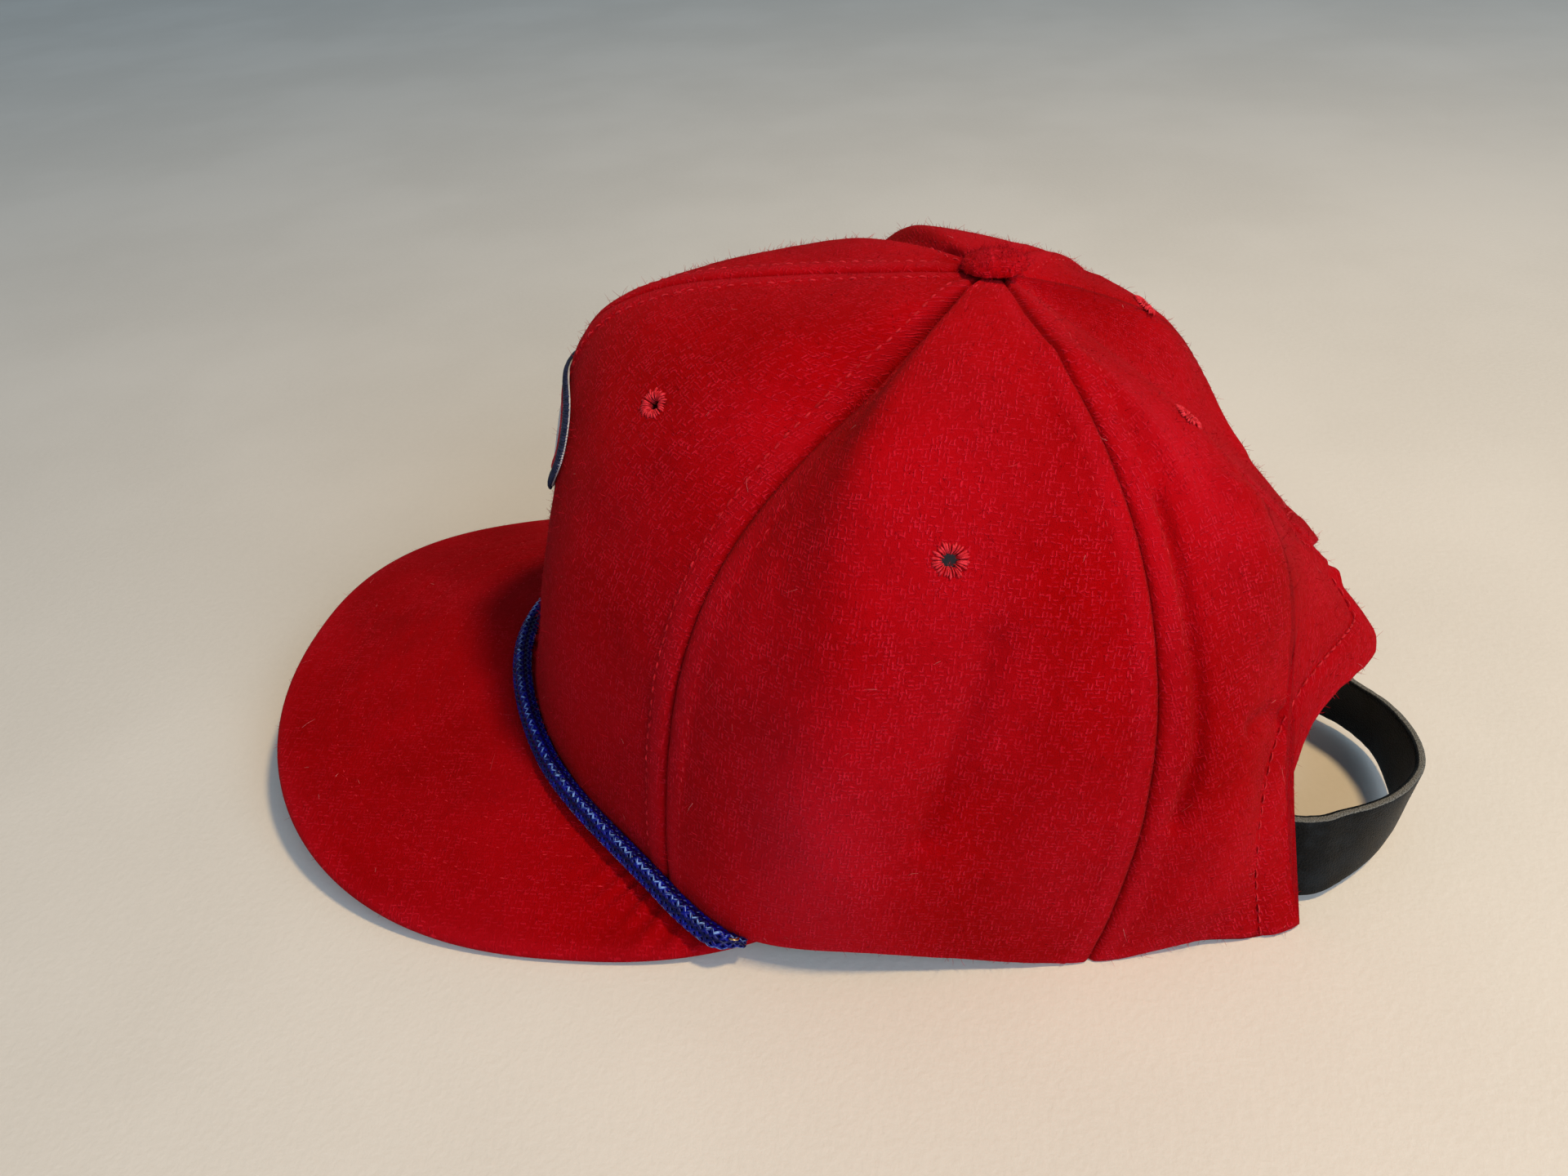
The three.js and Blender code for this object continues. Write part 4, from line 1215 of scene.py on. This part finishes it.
def button():
    """Wool drawn over a low dome and gathered under its rim. Returns the points of its top."""
    spokes, rings, top_rings = 120, 44, 30
    dome_share, rim_height, stem_radius, gather_count = 0.72, 0.6, 1.8, 17
    turn = np.arange(spokes) * 2 * np.pi / spokes
    share = np.linspace(0, 1, rings)
    # From the crown of the dome, over its side and under to the stem.
    dome = np.clip(share / dome_share, 0, 1) * np.pi / 2
    radial = BUTTON_RADIUS * np.sin(dome) ** 0.85
    height = rim_height + (BUTTON_HEIGHT - rim_height) * np.cos(dome) ** 0.8
    under = np.clip((share - dome_share) / (1 - dome_share), 0, 1)
    drawn_in = BUTTON_RADIUS - (BUTTON_RADIUS - stem_radius) * under**1.3
    radial = np.where(under > 0, drawn_in, radial)
    height = np.where(under > 0, rim_height - 0.75 * np.sin(under * np.pi / 2), height)
    base = np.array(APEX, float) + (0, 0, GAP + BUTTON_CLEARANCE)
    ring = np.stack([np.cos(turn)[:, None] * radial, np.sin(turn)[:, None] * radial,
                     np.broadcast_to(height, (spokes, rings))], axis=-1)
    gathers = step(0.55, 0.8, share) * (np.sin(turn * gather_count)[:, None] * 0.22)
    lumps = 0.20 * soft_noise(ring, 3.2, 61) + 0.09 * soft_noise(ring, 1.2, 62)
    out = unit(ring - (0, 0, 0.4))
    points = (base + ring + out * (lumps + gathers)[..., None]).reshape(-1, 3)
    quads = grid_faces(spokes, rings, wrap=True)[:, ::-1]
    last = (np.arange(spokes) * rings + rings - 1)[::-1][None]
    uv = np.stack([np.cos(turn)[:, None] * share * 11, np.sin(turn)[:, None] * share * 11],
                  axis=-1).reshape(-1, 2)
    wear_and_highlight = np.clip(0.25 + 0.3 * soft_noise(points, 4, 63), 0, 1)
    # The crease value paints shade under the button's rim, where the wool is drawn in to the stem.
    add_piece("wool_button", points, [quads, last], WOOL, "button_wool", ("top_button",), uv=uv,
              shades={"wear_and_highlight": wear_and_highlight, "crease": np.tile(step(0.8, 1, share), spokes)})
    return points.reshape(spokes, rings, 3)[:, :top_rings]


BUTTON_FACE = button()


# ---------------------------------------------------------------- patch

def patch_point(across, up, lift):
    """Point over the front panels at a distance across and up from the patch's middle, and
    the cloth's normal there."""
    across, up = (np.asarray(v, float) for v in np.broadcast_arrays(across, up))
    side = np.where(across < 0, RIGHT, LEFT)
    small = 0.05
    low = crown_point(np.array([0.0]), np.array([PATCH_CLIMB]), LEFT)
    high = crown_point(np.array([0.0]), np.array([PATCH_CLIMB + small]), LEFT)
    climb = PATCH_CLIMB + up * small / np.linalg.norm(high - low)
    middle = crown_point(np.zeros_like(climb), climb, side)
    beside = crown_point(np.full_like(climb, small), climb, side)
    around = np.abs(across) * small / np.linalg.norm(beside - middle, axis=-1)
    normal = crown_normal(around, climb, side)
    return crown_point(around, climb, side) + normal * np.asarray(lift, float)[..., None], normal


def patch():
    """A blank patch: a pale stitched field, a thin red line and a merrowed navy edge."""
    half = list(PATCH_HALF[1:-1])
    corners = np.array([*PATCH_HALF, *((-x, y) for x, y in reversed(half))], float)
    outline = smooth_curve(np.column_stack([corners, np.zeros(len(corners))]), 16, closed=True)
    outline = np.concatenate([outline, outline[:1]])
    total = lengths_along(outline)[-1]
    count, rings = 200, 22
    rim = resampled(outline, np.arange(count) * total / count)[:, :2]
    share = np.linspace(0, 1, rings)[1:]
    spots = rim[:, None] * share[None, :, None]
    lift = GAP + PATCH_THICKNESS - 0.15 + 0.05 * soft_noise(
        np.concatenate([spots, np.zeros((*spots.shape[:2], 1))], -1), 5, 71)
    across, up = spots[..., 0], spots[..., 1]
    middle = np.zeros(1)
    sunk = 0.15
    top = patch_point(across, up, lift)[0]
    low = patch_point(across, up, np.full(lift.shape, sunk))[0]
    peak = patch_point(middle, middle, middle + lift.mean())[0]
    foot = patch_point(middle, middle, middle + sunk)[0]
    rows = rings - 1
    size = count * rows
    points = np.concatenate([top.reshape(-1, 3), low.reshape(-1, 3), peak, foot])
    k = np.arange(count)
    ahead = (k + 1) % count
    centre_top = np.stack([k * rows, ahead * rows, np.full(count, 2 * size)], -1)
    centre_low = np.stack([size + ahead * rows, size + k * rows, np.full(count, 2 * size + 1)], -1)
    edge = np.stack([k * rows + rows - 1, size + k * rows + rows - 1,
                     size + ahead * rows + rows - 1, ahead * rows + rows - 1], -1)
    quads = np.concatenate([grid_faces(count, rows, 0, wrap=True),
                            grid_faces(count, rows, size, wrap=True)[:, ::-1], edge[:, ::-1]])
    uv = np.concatenate([spots.reshape(-1, 2), spots.reshape(-1, 2), [[0, 0], [0, 0]]])
    add_piece("patch_field", points, [quads[:, ::-1], centre_top, centre_low], PATCH_FIELD,
              "embroidery", ("front_patch",), uv=uv)

    def wraps(inset, width, thickness, pitch, seed):
        """Threads laid side by side across a line that follows the outline."""
        number = int(total / pitch)
        random = np.random.default_rng(seed)
        at = np.arange(number) * total / number
        spots = resampled(outline, at)[:, :2]
        tangent = unit(resampled(outline, (at + 0.3) % total)[:, :2] - spots)
        inward = np.stack([-tangent[:, 1], tangent[:, 0]], axis=-1)
        inward *= np.sign((inward * -spots).sum(-1))[:, None]
        turn = np.linspace(0, np.pi, 7)
        offset = inset + (width / 2) * (1 - np.cos(turn)) + random.uniform(-.1, .1, (number, 1))
        rise = GAP + PATCH_THICKNESS - 0.45 + thickness * np.sin(turn)
        places = spots[:, None] + inward[:, None] * offset[..., None]
        slanted = places + tangent[:, None] * (0.5 * np.cos(turn) * pitch)[None, :, None]
        centres, normals = patch_point(slanted[..., 0], slanted[..., 1],
                                       np.broadcast_to(rise, offset.shape))
        return tubes(centres, normals, pitch * 0.56, 0.22)

    edge_thread = wraps(inset=-0.5, width=2.2, thickness=0.75, pitch=0.62, seed=81)
    red_line = wraps(inset=3.0, width=1.1, thickness=0.42, pitch=0.55, seed=82)
    add_piece("patch_merrowed_edge", *edge_thread, NAVY, "embroidery")
    add_piece("patch_red_line", *red_line, PATCH_RED, "embroidery")


patch()


# ---------------------------------------------------------------- strap and slide

def strap_route():
    """Middle line of the strap's foot, evenly spaced, how far each point is along it, and how
    far the strap's top leans out there."""
    def within(around, climb, side):
        place = np.array([around]), np.array([climb])
        point = crown_point(*place, side) - crown_normal(*place, np.array([side])) * STRAP_INSET
        return point[0, 0], point[0, 1], 0

    points = [
        within(2.18, 0.12, LEFT), within(2.28, 0.12, LEFT), within(2.36, 0.12, LEFT),
        *STRAP_LOOP,
        within(2.4, 0.12, RIGHT), within(2.28, 0.04, RIGHT), within(2.18, 0.03, RIGHT),
    ]
    fine = smooth_curve(points, 40)
    total = lengths_along(fine)[-1]
    along = np.linspace(0, total, int(total / 0.8) + 1)
    line = resampled(fine, along)
    lean = line[:, 2].copy()
    line[:, 2] = STRAP_LIFT_LEFT + (STRAP_LIFT_RIGHT - STRAP_LIFT_LEFT) * along / total
    return line, along, lean


def strap():
    """A leather strap with rounded corners and raw cut edges, fibrous and slightly uneven."""
    line, along, lean = strap_route()
    ahead = unit(np.gradient(line, axis=0) * (1, 1, 0))
    out = np.stack([ahead[:, 1], -ahead[:, 0], np.zeros(len(ahead))], axis=-1)
    half = STRAP_THICKNESS / 2
    # The section, anticlockwise from the lower outer corner: thickness, height, and 1 on the
    # cut edges.
    up = np.linspace(0.35, STRAP_WIDTH - 0.35, 16)
    section = np.array([
        *((half, z, 0.0) for z in up),
        (half - 0.10, STRAP_WIDTH - 0.12, 0.75),
        (half - 0.35, STRAP_WIDTH, 1.0),
        (0.30, STRAP_WIDTH, 1.0),
        (-0.30, STRAP_WIDTH, 0.5),
        (0.35 - half, STRAP_WIDTH - 0.05, 0.15),
        (0.10 - half, STRAP_WIDTH - 0.15, 0.0),
        *((-half, z, 0.0) for z in up[::-1]),
        (0.10 - half, 0.12, 0.75),
        *((x, 0.0, 1.0) for x in (0.35 - half, -0.30, 0.30, half - 0.35)),
        (half - 0.10, 0.12, 0.75),
    ])
    thick, height, cut = section.T
    outward = thick + lean[:, None] * height / STRAP_WIDTH
    points = line[:, None] + out[:, None] * outward[..., None] + UP * height[None, :, None]
    rough = 0.09 * soft_noise(points, 0.9, 91) * cut[None] + 0.07 * soft_noise(points, 6, 92)
    points = points + out[:, None] * (rough * np.sign(thick))[..., None]
    points[..., 2] += 0.12 * soft_noise(points, 1.4, 93) * cut[None]
    corners = len(section)
    quads = grid_faces(len(line), corners)
    seam = np.arange(len(line) - 1) * corners
    quads = np.concatenate([quads, np.stack([seam + corners - 1, seam + 2 * corners - 1,
                                             seam + corners, seam], -1)])
    ends = [np.arange(corners)[None], (len(line) - 1) * corners + np.arange(corners)[::-1][None]]
    girth = lengths_along(section[:, :2])
    uv = np.stack(np.broadcast_arrays(along[:, None], girth[None]), axis=-1).reshape(-1, 2)
    add_piece("leather_strap", points.reshape(-1, 3), [quads, *ends], LEATHER, "leather",
              ("back_strap",), uv=uv, shades={"cut": np.tile(cut, len(line))})


def slide():
    """A plain brass loop round the strap, with rounded walls."""
    line, along, _ = strap_route()
    place = int(np.argmin(np.abs(along - (along[-1] - SLIDE_FROM_END))))
    ahead = unit((line[place + 1] - line[place - 1]) * (1, 1, 0))
    out = np.array((ahead[1], -ahead[0], 0.0))
    middle = line[place] + (0, 0, STRAP_WIDTH / 2)
    wide = STRAP_THICKNESS / 2 + SLIDE_CLEARANCE + SLIDE_WALL / 2
    high = STRAP_WIDTH / 2 + SLIDE_CLEARANCE + SLIDE_WALL / 2
    ring = rounded_ring(wide, high, 0.9, 7)
    centres = middle + out * ring[:, :1] + UP * ring[:, 1:]
    # The wall's own section is a flat bar with rounded corners, swept round the loop.
    bar = rounded_ring(SLIDE_WALL / 2, SLIDE_LENGTH / 2, 0.45, 4)
    tangent = unit(np.roll(centres, -1, axis=0) - np.roll(centres, 1, axis=0))
    outward = np.cross(tangent, ahead)
    points = np.array([centres + outward * a + ahead * b for a, b in bar]).transpose(1, 0, 2)
    count, corners = points.shape[:2]
    here = np.arange(count * corners).reshape(count, corners)
    ahead_ring = np.roll(here, -1, axis=0)
    quads = np.stack([here, ahead_ring, np.roll(ahead_ring, -1, 1), np.roll(here, -1, 1)], -1)
    add_piece("brass_slide", points.reshape(-1, 3), quads.reshape(-1, 4), BRASS, "brass",
              ("strap_slide",))


strap()
slide()


# ---------------------------------------------------------------- loose hairs

def surface_spots(points, count, random):
    """Random places on a grid of points [column][row], with their normals, spread by area."""
    du = points[1:, :-1] - points[:-1, :-1]
    dv = points[:-1, 1:] - points[:-1, :-1]
    normals = np.cross(du, dv)
    area = np.linalg.norm(normals, axis=-1).ravel()
    chosen = random.choice(len(area), count, p=area / area.sum())
    i, j = np.unravel_index(chosen, normals.shape[:2])
    a, b = random.uniform(0, 1, (2, count, 1))
    spots = points[i, j] + du[i, j] * a + dv[i, j] * b
    return spots, unit(normals[i, j])


def hairs(spots, normals, random, shortest, longest, thickness, stand):
    """Curved tapering fibres. stand is how far they rise from the cloth, 0 to 1."""
    count = len(spots)
    wild = unit(random.normal(size=(count, 3)))
    level = unit(wild - (wild * normals).sum(-1, keepdims=True) * normals)
    rise = random.uniform(0.25, 1.0, (count, 1)) * stand
    start = unit(normals * rise + level * (1 - rise * 0.6))
    bend = unit(random.normal(size=(count, 3))) * 0.8 + level * 0.4
    length = (shortest + (longest - shortest) * random.uniform(0, 1, (count, 1)) ** 3)
    share = np.linspace(0, 1, 3)[None, :, None]
    path = spots[:, None] + length[:, None] * (
        start[:, None] * share + bend[:, None] * share**2 * 0.45 + normals[:, None] * 0.04)
    path = path - normals[:, None] * 0.12 * (1 - share)
    # No fibre reaches under the cloth by more than its root.
    sunk = ((path - spots[:, None]) * normals[:, None]).sum(-1, keepdims=True)
    path = path - normals[:, None] * np.minimum(sunk + 0.05, 0) * (share > 0)
    path[..., 2] = np.maximum(path[..., 2], 0.03)
    ups = np.broadcast_to(np.cross(start, bend)[:, None] + 1e-3, path.shape)
    taper = np.array((1.0, 0.85, 0.3))
    points, faces = tubes(path, ups, thickness * taper, thickness * taper, sides=3)
    tone = np.repeat(random.uniform(0, 1, count) ** 1.6, 3 * 3)
    return points, faces, tone


def hair_piece(name, groups, material, slot):
    """Several groups of hairs as one piece."""
    points, faces = joined([group[:2] for group in groups])
    tone = np.concatenate([group[2] for group in groups])
    add_piece(name, points, faces, material, slot, shades={"tone": tone})


def fuzz():
    """Short nap hairs all over the wool, with a few longer fibres of lint."""
    random = np.random.default_rng(7)

    def on_panel(first, side, count, *size):
        spots, normals = surface_spots(PANELS[first, side]["outer"], count, random)
        return hairs(spots, normals * side, random, *size)

    def on_button(count, *size):
        spots, normals = surface_spots(BUTTON_FACE, count, random)
        outward = np.sign((normals * (spots - np.array(APEX))).sum(-1, keepdims=True))
        return hairs(spots, normals * outward, random, *size)

    def on_brim(count, *size):
        spots, normals = surface_spots(BRIM_TOP, count, random)
        return hairs(spots, normals * np.sign(normals[:, 2:]), random, *size)

    for side in (LEFT, RIGHT):
        groups = [on_panel(first, side, *CROWN_NAP) for first in range(3)]
        if side == LEFT:
            groups.append(on_button(*BUTTON_NAP))
        hair_piece(f"nap_hairs_{SIDE_NAMES[side]}", groups, FUZZ, "wool")
    hair_piece("brim_nap_hairs", [on_brim(*BRIM_NAP)], FUZZ, "brim_wool")
    groups = [on_panel(first, side, *CROWN_LINT) for first, side in PANELS]
    hair_piece("lint_hairs", [*groups, on_brim(*BRIM_LINT)], LINT, "wool")


fuzz()


# ---------------------------------------------------------------- floor, light and camera

def stage():
    """A plain floor under the cap."""
    mesh = bpy.data.meshes.new("floor")
    corners = [(-1, -1), (1, -1), (1, 1), (-1, 1)]
    points = [(x * FLOOR_HALF, y * FLOOR_HALF, FLOOR_LEVEL) for x, y in corners]
    mesh.from_pydata(points, [], [(0, 1, 2, 3)])
    mesh.materials.append(floor_material("pale_floor"))
    floor = bpy.data.objects.new("floor", mesh)
    bpy.context.scene.collection.objects.link(floor)


def area_light(name, direction, distance, size, watts, colour):
    """A round light that looks at the middle of the cap."""
    light = bpy.data.lights.new(name, "AREA")
    light.shape, light.size = "DISK", size
    light.energy, light.color = watts, colour
    lamp = bpy.data.objects.new(name, light)
    direction = Vector(direction).normalized()
    lamp.location = Vector((0, 0, 0.05)) + direction * distance
    lamp.rotation_mode = "QUATERNION"
    lamp.rotation_quaternion = (-direction).to_track_quat("-Z", "Y")
    bpy.context.scene.collection.objects.link(lamp)


def lights():
    """The area lights and a soft sky."""
    for light in LIGHTS:
        area_light(*light)
    world = bpy.data.worlds.new("soft_sky")
    world.use_nodes = True
    background = next(n for n in world.node_tree.nodes if n.type == "BACKGROUND")
    background.inputs["Color"].default_value = SKY_COLOUR
    background.inputs["Strength"].default_value = SKY_STRENGTH
    bpy.context.scene.world = world


def camera():
    """Above the wearer's left side, looking across the cap, slightly rolled."""
    eye, target = Vector(CAMERA_EYE), Vector(CAMERA_TARGET)
    roll = math.radians(CAMERA_ROLL)
    data = bpy.data.cameras.new("camera")
    data.lens, data.sensor_width = CAMERA_LENS, 36
    data.clip_start, data.clip_end = 0.01, 20
    viewer = bpy.data.objects.new("camera", data)
    forward = (target - eye).normalized()
    level = forward.cross(Vector((0, 0, 1))).normalized()
    upward = level.cross(forward)
    right = level * math.cos(roll) + upward * math.sin(roll)
    above = right.cross(forward)
    turn = Matrix((right, above, -forward)).transposed()
    viewer.matrix_world = Matrix.Translation(eye) @ turn.to_4x4()
    bpy.context.scene.collection.objects.link(viewer)
    bpy.context.scene.camera = viewer


stage()
lights()
camera()
bpy.context.scene.view_settings.view_transform = "Standard"
